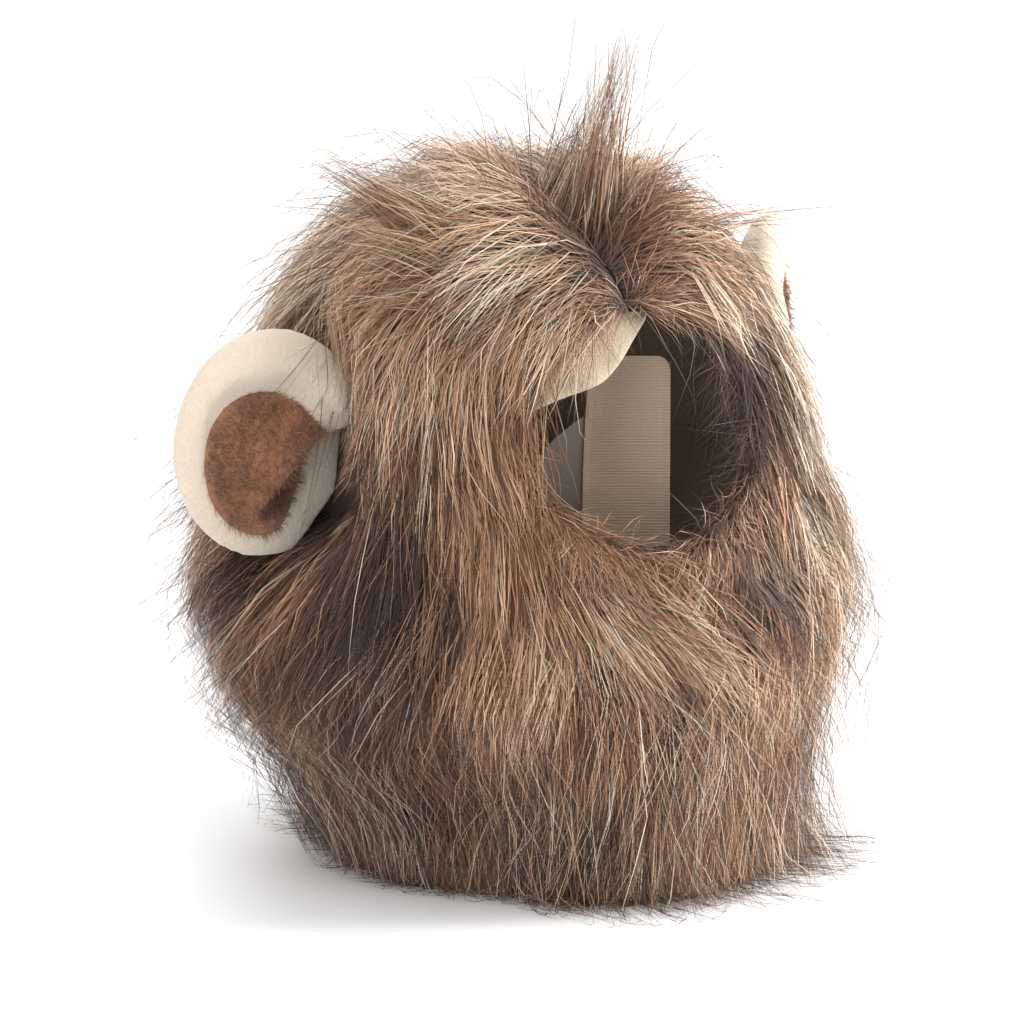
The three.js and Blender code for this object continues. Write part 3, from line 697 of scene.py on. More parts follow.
def ribbonPiece(name, curves, width, tone, dark, shares=None):
    # every strand is one tapering ribbon, turned at random about its length
    strands, count = curves.shape[:2]
    curves = keepInside(curves)
    share, azimuth = wallPlace(curves)
    outward = wallNormal(share, azimuth)
    tangent = unit(np.gradient(curves, axis=1))
    side = unit(np.cross(tangent, outward))
    front = np.cross(side, tangent)
    turn = random.uniform(-strandForm["turn"], strandForm["turn"], strands)[:, None, None]
    across = side * np.cos(turn) + front * np.sin(turn)
    along = np.linspace(0, 1, count) if shares is None else np.array(shares)
    profile = np.interp(along, strandForm["along"], strandForm["widths"])
    half = across * (width[:, None] * profile)[..., None] / 2
    left, right = curves - half, curves + half
    rungs = np.stack([left[:, :-1], right[:, :-1]], axis=2).reshape(strands, -1, 3)
    points = np.concatenate([rungs, curves[:, -1:]], axis=1)
    each = points.shape[1]
    faces = []
    for rung in range(count - 2):
        a = rung * 2
        faces += [(a, a + 1, a + 3), (a, a + 3, a + 2)]
    a = (count - 2) * 2
    faces.append((a, a + 1, a + 2))
    faces = np.array(faces)
    corners = (faces[None] + (np.arange(strands) * each)[:, None, None]).reshape(-1)
    triangles = len(corners) // 3

    mesh = bpy.data.meshes.new(name)
    mesh.vertices.add(strands * each)
    mesh.vertices.foreach_set("co", (points + hoodMiddle).reshape(-1))
    mesh.loops.add(len(corners))
    mesh.loops.foreach_set("vertex_index", corners)
    mesh.polygons.add(triangles)
    mesh.polygons.foreach_set("loop_start", np.arange(triangles) * 3)
    mesh.polygons.foreach_set("use_smooth", np.ones(triangles, bool))
    mesh.update(calc_edges=True)

    rungAlong = np.append(np.repeat(along[:-1], 2), 1.0)
    hair = np.ones((strands, each, 4), np.float32)
    hair[..., 0] = rungAlong
    hair[..., 1] = tone[:, None]
    hair[..., 2] = dark[:, None]
    attribute = mesh.attributes.new("hair", "FLOAT_COLOR", "POINT")
    attribute.data.foreach_set("color", hair.reshape(-1))

    cells = math.ceil(math.sqrt(strands))
    column, row = np.arange(strands) % cells, np.arange(strands) // cells
    u = np.append(np.tile([0.2, 0.8], count - 1), 0.5)
    uv = np.empty((strands, each, 2))
    uv[..., 0] = (column[:, None] + u) / cells
    uv[..., 1] = (row[:, None] + blend(0.12, 0.88, rungAlong)) / cells
    layer = mesh.uv_layers.new(name="OFBake")
    layer.data.foreach_set("uv", uv.reshape(-1, 2)[corners].reshape(-1))

    soft = unit(front + outward * strandForm["soft"])
    normals = np.concatenate([np.repeat(soft[:, :-1], 2, axis=1), soft[:, -1:]], axis=1)
    mesh.normals_split_custom_set_from_vertices(normals.reshape(-1, 3))
    return addObject(name, mesh)


def panelHair(side, settings, count):
    bigShare, bigAzimuth = sampleWall(mane["bigLocks"] // 2, side)
    smallShare, smallAzimuth = sampleWall(mane["smallLocks"] // 2, side)
    share, azimuth = sampleWall(count, side)
    big = wallPoint(bigShare, bigAzimuth)
    small = wallPoint(smallShare, smallAzimuth)
    roots = onWall(share, azimuth, byPlace["rootOut"])
    bigOfSmall = nearest(small, big)
    smallOfRoot = nearest(wallPoint(share, azimuth), small)
    bigRows = varied((len(big), 4), 0, 1, -2, 2)
    smallRows = varied((len(small), 4), 0, 1, -2, 2)
    ownRows = varied((count, 4), 0, 1, -2.4, 2.4)
    bigOfRoot = bigOfSmall[smallOfRoot]
    steps = growSteps

    def grown(start, *rows):
        return growHair(start, side, hairStyle(start, settings, *rows), steps)

    bigCurves = grown(big, bigRows, 0 * bigRows, 0 * bigRows)
    smallCurves = grown(small, bigRows[bigOfSmall], smallRows, 0 * smallRows)
    own = grown(roots, bigRows[bigOfRoot], smallRows[smallOfRoot], ownRows)
    pull = np.linspace(0, 1, steps)[None, :, None] ** 1.3
    smallCurves = blend(smallCurves, bigCurves[bigOfSmall], pull * mane["bigPull"])
    loose = 1 - 0.5 * smooth(np.abs(ownRows[:, 3]) - 1)
    own = blend(own, smallCurves[smallOfRoot], pull * mane["smallPull"] * loose[:, None, None])
    along = np.linspace(0, 1, steps)
    phase = random.uniform(0, 2 * math.pi, (count, 3))
    turns = random.uniform(*vary["turns"], count)
    wave = np.sin(along[None, :, None] * turns[:, None, None] * 2 * math.pi + phase[:, None])
    own = own + wave * (settings["wave"] * along)[None, :, None]
    places = np.array(settings["shares"]) * (steps - 1)
    low = np.minimum(places.astype(int), steps - 2)
    own = blend(own[:, low], own[:, low + 1], (places - low)[None, :, None])
    # painted light raises the tone on the right side; the crown is lighter too
    fromRight = turnedFrom(np.arctan2(roots[:, 1], roots[:, 0]), furTone["rightSide"])
    paintedLightAndCrown = furTone["right"] * (1 - smooth((fromRight - furTone["rightReach"]) / furTone["rightFade"])) \
        + furTone["crown"] * smooth((roots[:, 2] - byPlace["crownFrom"]) / byPlace["crownReach"])
    bigTone, smallTone, ownTone = vary["tone"]
    tone = furTone["middle"] + paintedLightAndCrown + bigTone * bigRows[bigOfRoot, 3] \
        + smallTone * smallRows[smallOfRoot, 3] + ownTone * random.normal(0, 1, count)
    # the dark patches lower the tone and darken the strand: partly darker fur, partly painted shade
    patch = patchShade(roots)
    tone = tone - furTone["patch"] * patch
    dark = random.uniform(0, 1, count) ** darkness["power"] * darkness["most"]
    patchDark = patch * darkness["patch"] * random.uniform(darkness["leastInPatch"], 1, count)
    dark = np.clip(dark + patchDark, 0, 1)
    return own, np.clip(tone, 0, 1), dark, share


def thickness(settings, count):
    return settings["width"] * varied(count, 1, settings["uneven"], *settings["widths"])


def pressing(settings, count):
    # how far each strand may stand off, over what the dense hair may
    if "pressEven" in settings:
        return random.uniform(*settings["pressEven"], count)
    return varied(count, settings["press"], settings["pressSpread"], *settings["pressLimits"])


def hairLayer(side, settings):
    curves, tone, dark, share = panelHair(side, settings, settings["strands"] // 2)
    curves, kept = cutAtEars(pressDown(curves, pressing(settings, len(curves))))
    return curves, thickness(settings, len(curves)), tone[kept], dark[kept], share[kept]


maneFinish = furFinish("mane_fur")
maneParts = []    # each with the side of its panel
for side, panel in panels:
    curves, width, tone, dark, share = hairLayer(side, mane)
    middleShare = np.median(share)
    for label, chosen, held in (("neck", share < middleShare, mane["neckPoints"]),
                                ("crown", share >= middleShare, list(range(len(mane["shares"]))))):
        piece = ribbonPiece(f"mane_{panel}_{label}", curves[chosen][:, held], width[chosen], tone[chosen],
                            dark[chosen], [mane["shares"][index] for index in held])
        maneParts.append((side, piece))
    print("mane", panel, len(curves), "strands")
    for name, settings in (("guard_hair", guard), ("wisps", wisps)):
        curves, width, tone, dark, share = hairLayer(side, settings)
        isDark = random.uniform(0, 1, len(curves)) < settings["darkShare"]
        darkTone = tone * settings["darkTone"] + settings["darkMore"]
        tone = np.where(isDark, darkTone, tone + settings["paleMore"])
        piece = ribbonPiece(f"{name}_{panel}", curves, width, np.clip(tone, 0, 1),
                            np.where(isDark, 1.0, settings["paleDark"]), settings["shares"])
        maneParts.append((side, piece))

# spiky locks on the crown, behind the whorl
tuft = {
    "width": 0.00034, "uneven": 0.2, "widths": (0.5, 1.5), "points": 7,
    # foot x and y, tip x, y and height over the crown, the foot's reach, and how many hairs
    "locks": [
        (0.000, -0.016, 0.022, -0.034, 0.094, 0.026, 400),
        (-0.012, -0.026, -0.034, -0.048, 0.034, 0.016, 150),
        (0.014, -0.028, 0.032, -0.044, 0.040, 0.014, 150),
        (-0.018, -0.020, -0.050, -0.026, 0.034, 0.016, 150),
        (0.022, -0.020, 0.060, -0.030, 0.022, 0.014, 130),
        (-0.004, -0.006, -0.014, 0.014, 0.030, 0.016, 130),
        (-0.040, -0.018, -0.130, -0.028, 0.050, 0.026, 330),
        (-0.046, -0.026, -0.122, -0.042, 0.020, 0.018, 150),
        (-0.034, -0.006, -0.100, -0.004, 0.040, 0.018, 170),
        (-0.056, -0.030, -0.132, -0.056, -0.010, 0.016, 150),
        (0.034, -0.020, 0.118, -0.040, 0.006, 0.016, 130),
    ],
    "tipSpread": 0.003, "looseShare": 0.3, "looseSpread": 0.018, "sway": 0.0032,
    "lengths": (0.58, 0.22, 0.25, 1.04),    # middle, spread, least and most
}
tuftCurves = []
for footX, footY, tipX, tipY, rise, spread, count in tuft["locks"]:
    angle = random.uniform(0, 2 * math.pi, count)
    reach = np.sqrt(random.uniform(0, 1, count)) * spread
    foot = np.stack([footX + reach * np.cos(angle), footY + reach * np.sin(angle),
                     np.full(count, hood["height"] * 1.05)], axis=-1)
    lockShare, lockAzimuth = wallPlace(foot)
    foot = onWall(lockShare, lockAzimuth, 0.002)
    tip = np.array([tipX, tipY, hood["height"] + rise]) + random.normal(0, tuft["tipSpread"], (count, 3))
    loose = (random.uniform(0, 1, count) < tuft["looseShare"])[:, None]
    tip = tip + loose * random.normal(0, tuft["looseSpread"], (count, 3))
    length = varied(count, *tuft["lengths"])
    along = np.linspace(0, 1, tuft["points"])
    bow = foot + (tip - foot) * 0.4 + np.array([0, 0, 0.004]) - (foot - foot.mean(0)) * 0.3
    t = (along[None] * length[:, None])[..., None]
    lock = foot[:, None] * (1 - t) ** 2 + bow[:, None] * 2 * t * (1 - t) + tip[:, None] * t ** 2
    sway = random.normal(0, tuft["sway"], (count, 1, 3))
    lock = lock + sway * np.sin(t * 7 + random.uniform(0, 6, (count, 1, 1))) * t
    tuftCurves.append(lock)
tuftCurves = np.concatenate(tuftCurves)
count = len(tuftCurves)
tuftPiece = ribbonPiece("crown_tuft", tuftCurves, thickness(tuft, count),
                        varied(count, 0.5, 0.24, 0, 1), random.uniform(0, 1, count) ** 0.9)
maneParts.append((-1, tuftPiece))

# short hair along the opening's rim, and dark curled hair that strays into it, most of it on the right, its
# dark tone partly painted shade of the right rim
rim = {"strands": 9000, "length": 0.020, "width": 0.00026, "uneven": 0.2, "widths": (0.5, 1.5),
       "shares": [0, 0.3, 0.65, 1], "reach": 0.007,
       "tone": 0.46, "toneSpread": 0.2, "patchTone": 0.4, "patchDark": 0.6,
       "bend": 0.5, "hang": 0.35, "fall": 0.9,
       "lift": (34, 12, 8, 70), "lengths": (1, 0.3, 0.35, 1.8)}    # each middle, spread, least and most
stray = {"strands": 70, "curled": 2600, "length": 0.026, "width": 0.0002, "uneven": 0.25,
         "widths": (0.5, 1.6), "shares": [0, 0.2, 0.4, 0.6, 0.8, 1], "coil": 0.16, "coilTurns": 6.5}


def aroundFace(angle, off):
    # share and azimuth of the wall beside the opening's edge
    x = face["x"] + (face["width"] / 2 + off) * np.cos(angle)
    z = face["z"] + (face["height"] / 2 + off) * np.sin(angle)
    share = shareAt(z)
    width = wallPoint(share, np.zeros_like(share))[:, 0]
    return share, -np.arccos(np.clip(x / width, -0.98, 0.98))


def rimCurves(angle, settings, outward, loose, curl):
    count = len(angle)
    share, azimuth = aroundFace(angle, random.uniform(0, 1, count) ** 1.6 * rim["reach"])
    foot, normal = onWall(share, azimuth, 0.0012), wallNormal(share, azimuth)
    side = np.where(foot[:, 0] > seamX(foot[:, 2]), 1, -1)
    flow = hairFlow(foot, normal, side)
    away = np.stack([np.cos(angle), np.zeros(count), np.sin(angle)], axis=-1)
    heading = unit(flow + away * outward + random.normal(0, loose, (count, 3)))
    heading = unit(heading - normal * dot(heading, normal)[:, None])
    lift = np.radians(varied(count, *rim["lift"]))
    length = settings["length"] * varied(count, *rim["lengths"])
    t = np.array(settings["shares"])[None, :, None]
    rise = normal * np.sin(lift)[:, None]
    path = foot[:, None] + (heading * np.cos(lift)[:, None] + rise)[:, None] * (length[:, None, None] * t)
    bend = unit(random.normal(0, 1, (count, 3))) * rim["bend"] + down * rim["hang"] - rise * rim["fall"]
    path = path + bend[:, None] * (length[:, None, None] * t ** 2 * curl)
    coil = unit(random.normal(0, 1, (count, 3)))[:, None] * (length[:, None, None] * stray["coil"] * curl)
    path = path + coil * t * np.sin(t * stray["coilTurns"] + random.uniform(0, 6, (count, 1, 1)))
    return path, side


angle = random.uniform(0, 2 * math.pi, rim["strands"])
curves, side = rimCurves(angle, rim, random.choice((0.5, -0.25), (len(angle), 1)), 0.5, 0.5)
# rim hair in a dark patch is darker too, partly painted shade
inPatch = patchShade(curves[:, 0])
dark = np.clip(random.uniform(0, 1, len(angle)) ** 2 + inPatch * rim["patchDark"], 0, 1)
tone = random.normal(rim["tone"], rim["toneSpread"], len(angle))
tone = np.clip(tone - rim["patchTone"] * inPatch, 0, 1)
width = thickness(rim, len(angle))
for own, panel in panels:
    chosen = side == own
    piece = ribbonPiece(f"rim_hair_{panel}", curves[chosen], width[chosen], tone[chosen], dark[chosen],
                        rim["shares"])
    maneParts.append((own, piece))
angle = np.concatenate([random.normal(0.2, 0.45, stray["curled"]),
                        random.uniform(0, 2 * math.pi, stray["strands"])])
isCurled = np.arange(len(angle)) < stray["curled"]
outward = np.where(isCurled, random.uniform(-1.5, 0.3, len(angle)), -1.1)[:, None]
curves, side = rimCurves(angle, stray, outward, 0.7, 1.0)
width = thickness(stray, len(curves))
piece = ribbonPiece("stray_hair", curves, width, random.uniform(0, 0.22, len(curves)),
                    random.uniform(0.6, 1, len(curves)), stray["shares"])
maneParts.append((1, piece))

# hair over the near ear, in radii of the ear from its root
overEar = {"strands": 20, "width": 0.00022, "sway": 0.05, "height": 0.32,
           "startX": (0.05, 0.45), "startY": (0.2, 1.0),
           "reach": ((0.1, 1.3), (-1.4, -0.4), (0.02, 0.14))}
count = overEar["strands"]
start = np.stack([random.uniform(*overEar["startX"], count), random.uniform(*overEar["startY"], count),
                  np.full(count, overEar["height"])], axis=-1)
stop = start + np.stack([random.uniform(*limits, count) for limits in overEar["reach"]], axis=-1)
t = np.array(stray["shares"])[None, :, None]
curves = blend(start[:, None], stop[:, None], t)
curves = curves + random.normal(0, overEar["sway"], (count, 1, 3)) * np.sin(t * 3) * np.array([1, 1, 0.3])
curves = outOfEar(curves * ear["radius"], "left")
piece = ribbonPiece("hair_over_ear", curves, np.full(count, overEar["width"]),
                    random.uniform(0, 0.25, count), np.ones(count), stray["shares"])
maneParts.append((-1, piece))
for side, piece in maneParts:
    maneFinish.dress(piece)
print("hair", sum(len(piece.data.polygons) for side, piece in maneParts), "triangles")


# ---- cloth under the hair, one sheet for each panel

backing = {"thickness": 0.0012, "columns": 60, "rows": 36}


def cutFace(piece, grow=0.0):
    bpy.ops.object.select_all(action="DESELECT")
    bpy.ops.mesh.primitive_cylinder_add(vertices=96, radius=1, depth=0.3)
    cutter = bpy.context.object
    cutter.matrix_world = (Matrix.Translation(Vector((face["x"], -0.16, face["z"])) + Vector(hoodMiddle))
                           @ Matrix.Rotation(math.radians(90), 4, "X")
                           @ Matrix.Diagonal((face["width"] / 2 + grow, face["height"] / 2 + grow, 1, 1)))
    modify(piece, "BOOLEAN", object=cutter, operation="DIFFERENCE", solver="EXACT")
    bpy.data.objects.remove(cutter)


def panelSheet(name, side, out, settings, inset=0.0008):
    def laid(across, up):
        share = up * 0.998
        height = wallPoint(share, np.zeros_like(share))[:, 2]
        width = np.maximum(wallPoint(share, np.zeros_like(share))[:, 0], 1e-4)
        start = -np.arccos(np.clip((seamX(height) + side * inset) / width, -0.97, 0.97))
        finish = math.pi / 2 if side > 0 else -1.5 * math.pi
        finish = finish - side * inset / np.maximum(width, 0.01)
        return onWall(share, blend(start, finish, across), out)
    sheet = sheetGrid(name, settings["columns"], settings["rows"], laid)
    if side < 0:
        editWhole(sheet, bpy.ops.mesh.flip_normals)
    modify(sheet, "SOLIDIFY", thickness=settings["thickness"], offset=1)
    cutFace(sheet)
    return sheet


backings = {}
for side, panel in panels:
    backings[side] = panelSheet(f"fur_backing_{panel}", side, 0.0006, backing)

clothFinish("knit_backing", (900.0, 1.0), (900.0, 1.0), ((44, 32, 27), (66, 50, 42)),
            (1, 0, 0.4, 0.0004), Roughness=0.9).dress(*backings.values())

# ---- lining inside

liningSettings = {"thickness": 0.0008, "in": 0.0009, "rows": 44, "columns": 144, "wrinkle": 0.0016,
                  "faceGrow": 0.0016}


def liningPoint(across, up):
    azimuth = across * 2 * math.pi
    share = up * 0.998
    # two slanting waves make the folds
    fold = np.sin(azimuth * 9 + 3 * share + 1.3 * np.sin(share * 9)) * 0.5 + \
        np.sin(azimuth * 5 - 7 * share + 0.6) * 0.5
    depth = liningSettings["wrinkle"] * (fold + 1) * 0.5 * smooth(share * 6) * smooth((1 - share) * 5)
    return onWall(share, azimuth, -liningSettings["in"]) - wallNormal(share, azimuth) * depth[:, None]


lining = sheetGrid("lining", liningSettings["columns"], liningSettings["rows"], liningPoint)
editWhole(lining, bpy.ops.mesh.remove_doubles, threshold=0.00002)
modify(lining, "SOLIDIFY", thickness=liningSettings["thickness"], offset=1)
cutFace(lining, liningSettings["faceGrow"])

clothFinish("satin_lining", (1400.0, 1.0), (22.0, 3.0), ((160, 138, 116), (204, 184, 160)),
            (0.6, 1, 0.3, 0.0012), Roughness=0.55, Sheen_Weight=0.3).dress(lining)

# ---- closing flap and its hook strip

flap = {
    "thickness": 0.0010, "wallAzimuth": 222,
    "planX": [-0.41, -0.205, 0, 0.145, 0.3], "planY": [-0.55, -0.44, -0.46, -0.54, -0.64],
    "low": 0.545 * hood["height"], "high": 0.82 * hood["height"],    # the top edge slants between them
    "slope": 0.8, "foot": 0.001, "bow": 0.0012, "step": 0.001, "samples": 24,
    "columns": 40, "rows": 24,
}
strip = {"width": 0.0285, "thickness": 0.0009, "corner": 0.005, "foot": 0.004, "top": 0.83 * hood["height"],
         "rib": 0.0011, "selvedge": 0.0012, "selvedgeRise": 0.0004, "out": 0.0006}


def between(first, second, start, end, t):
    return (end - t) / (end - start) * first + (t - start) / (end - start) * second


def curveThrough(route, count):
    # a smooth curve through the route's points, without loops where they lie close
    ends = [2 * route[0] - route[1], *route, 2 * route[-1] - route[-2]]
    samples = []
    for index in range(1, len(ends) - 2):
        posts = ends[index - 1:index + 3]
        knots = [0]
        for before, after in zip(posts, posts[1:]):
            knots.append(knots[-1] + np.linalg.norm(after - before) ** 0.5)
        for t in np.linspace(knots[1], knots[2], count, endpoint=False):
            first = [between(posts[n], posts[n + 1], knots[n], knots[n + 1], t) for n in range(3)]
            second = [between(first[n], first[n + 1], knots[n], knots[n + 2], t) for n in range(2)]
            samples.append(between(*second, knots[1], knots[2], t))
    samples.append(route[-1])
    samples = np.array(samples)
    gone = np.concatenate([[0], np.cumsum(np.linalg.norm(np.diff(samples, axis=0), axis=1))])
    return samples, gone


def flapLine(height):
    wall = onWall(np.array(shareAt(height)), np.array(math.radians(flap["wallAzimuth"])), -0.0032)[:2]
    plan = zip(flap["planX"], flap["planY"])
    route = [wall] + [np.array([x * halfWidth, y * frontDepth]) for x, y in plan]
    return curveThrough(route, flap["samples"])


def flapPoint(along, height, out):
    points = np.empty((len(along), 3))
    for index, (share, z, away) in enumerate(zip(along, height, np.broadcast_to(out, len(along)))):
        samples, gone = flapLine(z)
        reach = share * gone[-1]
        ahead, behind = min(reach + flap["step"], gone[-1]), max(reach - flap["step"], 0)
        x, y = (np.interp([reach, ahead, behind], gone, samples[:, axis]) for axis in (0, 1))
        dx, dy = x[1] - x[2], y[1] - y[2]
        size = math.hypot(dx, dy) or 1
        points[index] = (x[0] + dy / size * away, y[0] - dx / size * away, z)
    return points


def flapSheet(along, up):
    top = blend(flap["low"], flap["high"], along ** flap["slope"])
    bow = flap["bow"] * np.sin(along * math.pi) * np.sin(up * math.pi * 1.4 + 0.4)
    points = flapPoint(along, flap["foot"] + up * (top - flap["foot"]), -0.0002)
    points[:, 1] += bow
    return points


closingFlap = sheetGrid("flap_cloth", flap["columns"], flap["rows"], flapSheet)
modify(closingFlap, "SOLIDIFY", thickness=flap["thickness"], offset=-1)
bpy.ops.object.shade_smooth_by_angle(angle=math.radians(40))

stripStart = 1 - strip["width"] / flapLine(0.0)[1][-1]


def stripSheet(along, up):
    fromEdge = np.abs(along - 0.5) * strip["width"]
    corner = np.maximum(0, fromEdge - strip["width"] / 2 + strip["corner"])
    top = strip["top"] - (strip["corner"] - np.sqrt(np.maximum(strip["corner"] ** 2 - corner ** 2, 0)))
    height = strip["foot"] + up * (top - strip["foot"])
    edge = strip["width"] / 2 - fromEdge
    selvedge = strip["selvedgeRise"] * (1 - smooth((edge - 0.0006) / strip["selvedge"]))
    return flapPoint(blend(stripStart, 1, along), height, strip["out"] + selvedge)


hookStrip = sheetGrid("hook_strip_tape", 30, 60, stripSheet)
modify(hookStrip, "SOLIDIFY", thickness=strip["thickness"], offset=1)
bpy.ops.object.shade_smooth_by_angle(angle=math.radians(40))

clothFinish("flap_satin", (1600.0, 1.0), (30.0, 2.0), ((88, 74, 64), (114, 98, 86)),
            (1, 0, 0.2, 0.0004), Roughness=0.5, Sheen_Weight=0.3).dress(closingFlap)

tapeFinish = Finish("hook_tape", Roughness=0.75, Sheen_Weight=0.2)
place = tapeFinish.place()
heightOf = tapeFinish.node("ShaderNodeSeparateXYZ", None, {0: place}, 2)
waves = heightOf * (2 * math.pi / strip["rib"])
ribs = tapeFinish.node("ShaderNodeMath", {"operation": "SINE"}, {0: waves})
grain = tapeFinish.noise(place, 1100.0, 2.0)
soil = tapeFinish.noise(place, 45.0, 3.0)
ribbed = tapeFinish.mix(ribs * 0.16 + grain * 0.5 + 0.1, colour(140, 120, 102), colour(176, 156, 136))
soiled = tapeFinish.mix(tapeFinish.rise(soil, 0.5, 0.8) * 0.5, ribbed, colour(176, 152, 124))
tapeFinish.feed("Base Color", soiled)
tapeFinish.bump(ribs * 0.5 + grain, 0.25, 0.0004)
tapeFinish.dress(hookStrip)

# ---- cream band inside the forehead edge

band = {"from": 80, "to": 170, "hidden": 0.007, "shown": 0.019, "thickness": 0.0024, "in": 0.0030,
        "droop": 0.0012, "ripple": 0.0005}


def bandPoint(along, across):
    angle = np.radians(blend(band["from"], band["to"], along))
    shown = band["shown"] * np.sin(along * math.pi) ** 0.8
    share, azimuth = aroundFace(angle, -blend(-band["hidden"], shown, across))
    droop = band["droop"] * np.sin(across * math.pi) + band["ripple"] * np.sin(along * 19) * across
    return onWall(share, azimuth, -band["in"]) - wallNormal(share, azimuth) * droop[:, None]


foreheadBand = sheetGrid("forehead_fleece", 48, 10, bandPoint)
modify(foreheadBand, "SOLIDIFY", thickness=band["thickness"], offset=0)
modify(foreheadBand, "SUBSURF", levels=1, render_levels=1)


def fleeceFinish(name, *colours):
    return clothFinish(name, (750.0, 4.0, 0.65), (38.0, 3.0), colours, (1, 0.7, 0.8, 0.0016),
                       lit=(0.35, 0.75, 0.35), Roughness=0.95, Sheen_Weight=0.6, Sheen_Roughness=0.5)


fleece = fleeceFinish("cream_fleece", (216, 196, 172), (234, 218, 198), (240, 230, 216))
# a darker copy of the cream fleece: painted shade for the band, which lies in shade under the hair inside
# the opening
shadedFleece = fleeceFinish("shaded_fleece", (186, 166, 138), (208, 190, 160), (216, 200, 174))
shadedFleece.dress(foreheadBand)
print("inside done")

# ---- ears

earMesh = {"rings": 26, "columns": 96, "voxel": 0.0024, "frames": 20, "cap": 0.0022, "shrink": 0.0008}
filling = {"quality": 4, "mass": 0.15, "tension_stiffness": 12, "compression_stiffness": 12,
           "shear_stiffness": 6, "use_pressure": True, "uniform_pressure_force": 3.0}
# the rolled upper edge, between two angles about the ear's middle
roll = {"from": 40, "rise": 55, "to": 172, "fall": 30, "height": 0.0046, "backShare": 0.4,
        "flat": 0.58, "rolledFlat": 0.40, "fade": 0.33}
# the crease, in radii from the ear's root, and how the upper part hangs over it along its length
crease = {"baseX": 0.30, "baseY": 0.12, "tipX": 1.30, "tipY": -0.60, "depth": 0.0105, "lip": 0.0034,
          "end": 0.62, "endFade": 0.48, "lipAt": 0.13, "lipReach": 0.15, "hangAt": 0.02, "hangReach": 0.17,
          "along": [-0.4, -0.1, 0.1, 0.3, 0.6, 1.0], "hang": [0.16, 0.24, 0.20, 0.09, 0.05, 0.0]}
patch = {"shiftX": 0.0056, "shiftY": -0.0058, "wide": 0.0262, "tall": 0.0268, "rings": 24, "columns": 84,
         "out": 0.0011, "edgeOut": -0.0004, "thickness": 0.0012}
nap = {"left": 4500, "right": 3500, "lean": 0.45, "hang": 0.25, "shortest": 0.0018, "longest": 0.0036,
       "thinnest": 0.00018, "thickest": 0.0003}


def earSurface(radius, angle, isFront, grow=0.0):
    degrees = np.degrees(angle) % 360
    rolled = smooth((degrees - roll["from"]) / roll["rise"]) \
        * (1 - smooth((degrees - roll["to"] + 12) / roll["fall"]))
    rim = smooth((radius - blend(roll["flat"], roll["rolledFlat"], rolled)) / roll["fade"])
    half = blend(ear["middle"], ear["rim"], rim) / 2 + grow
    half = half + roll["height"] * rolled * rim * (1 if isFront else roll["backShare"])
    body = np.sqrt(np.maximum(1 - radius ** 5, 0))
    spread = 1 + grow / ear["radius"]
    return np.stack([
        ear["radius"] * (1 + radius * np.cos(angle) * spread),
        ear["radius"] * ear["tall"] * radius * np.sin(angle) * spread,
        ear["cup"] * radius ** 2 + (1 if isFront else -1) * half * body,
    ], axis=-1)


def foldEar(piece, which):
    # the upper part comes forward and hangs over the lower one along the crease
    local = intoEar(pointsOf(piece) - hoodMiddle, which)
    alongX, alongY = crease["tipX"] - crease["baseX"], crease["tipY"] - crease["baseY"]
    length = math.hypot(alongX, alongY)
    fromX = local[:, 0] / ear["radius"] - crease["baseX"]
    fromY = local[:, 1] / ear["radius"] - crease["baseY"]
    along = (fromX * alongX + fromY * alongY) / length ** 2
    below = (fromX * alongY - fromY * alongX) / length
    fade = 1 - smooth((along - crease["end"]) / crease["endFade"])
    fromMiddle = np.hypot(local[:, 0] / ear["radius"] - 1, local[:, 1] / ear["radius"] / ear["tall"])
    isFront = smooth((local[:, 2] - ear["cup"] * fromMiddle ** 2) / 0.006 + 0.5)
    # the ear's back follows the crease in a soft curve
    lower = blend(smooth((below + 0.24) / 0.42), smooth((below + 0.015) / 0.05), isFront)
    lip = crease["lip"] * np.exp(-((below + crease["lipAt"]) / crease["lipReach"]) ** 2) \
        * smooth((along + 0.5) / 0.5)
    local[:, 2] += fade * (lip - crease["depth"] * lower * smooth((1.5 - below) / 1.1))
    hang = np.interp(along, crease["along"], crease["hang"])
    hang = hang * np.exp(-((below + crease["hangAt"]) / crease["hangReach"]) ** 2) * (1 - lower)
    local[:, 0] += ear["radius"] * hang * alongY / length
    local[:, 1] -= ear["radius"] * hang * alongX / length
    setPoints(piece, outOfEar(local, which) + hoodMiddle)


def restOnWall(piece):
    # what would reach through the hood's wall lies on it
    points = pointsOf(piece) - hoodMiddle
    share, azimuth = wallPlace(points)
    normal = wallNormal(share, azimuth)
    out = dot(points - wallPoint(share, azimuth), normal)
    points = points + normal * np.maximum(ear["overWall"] - out, 0)[:, None]
    setPoints(piece, points + hoodMiddle)


def discFaces(pole, rings):
    # from the index of the middle point and the indices of each ring's points
    faces = []
    for column in range(len(rings[0])):
        after = (column + 1) % len(rings[0])
        faces.append((pole, rings[0][column], rings[0][after]))
        for inner, outer in zip(rings, rings[1:]):
            faces.append((inner[column], outer[column], outer[after], inner[after]))
    return faces


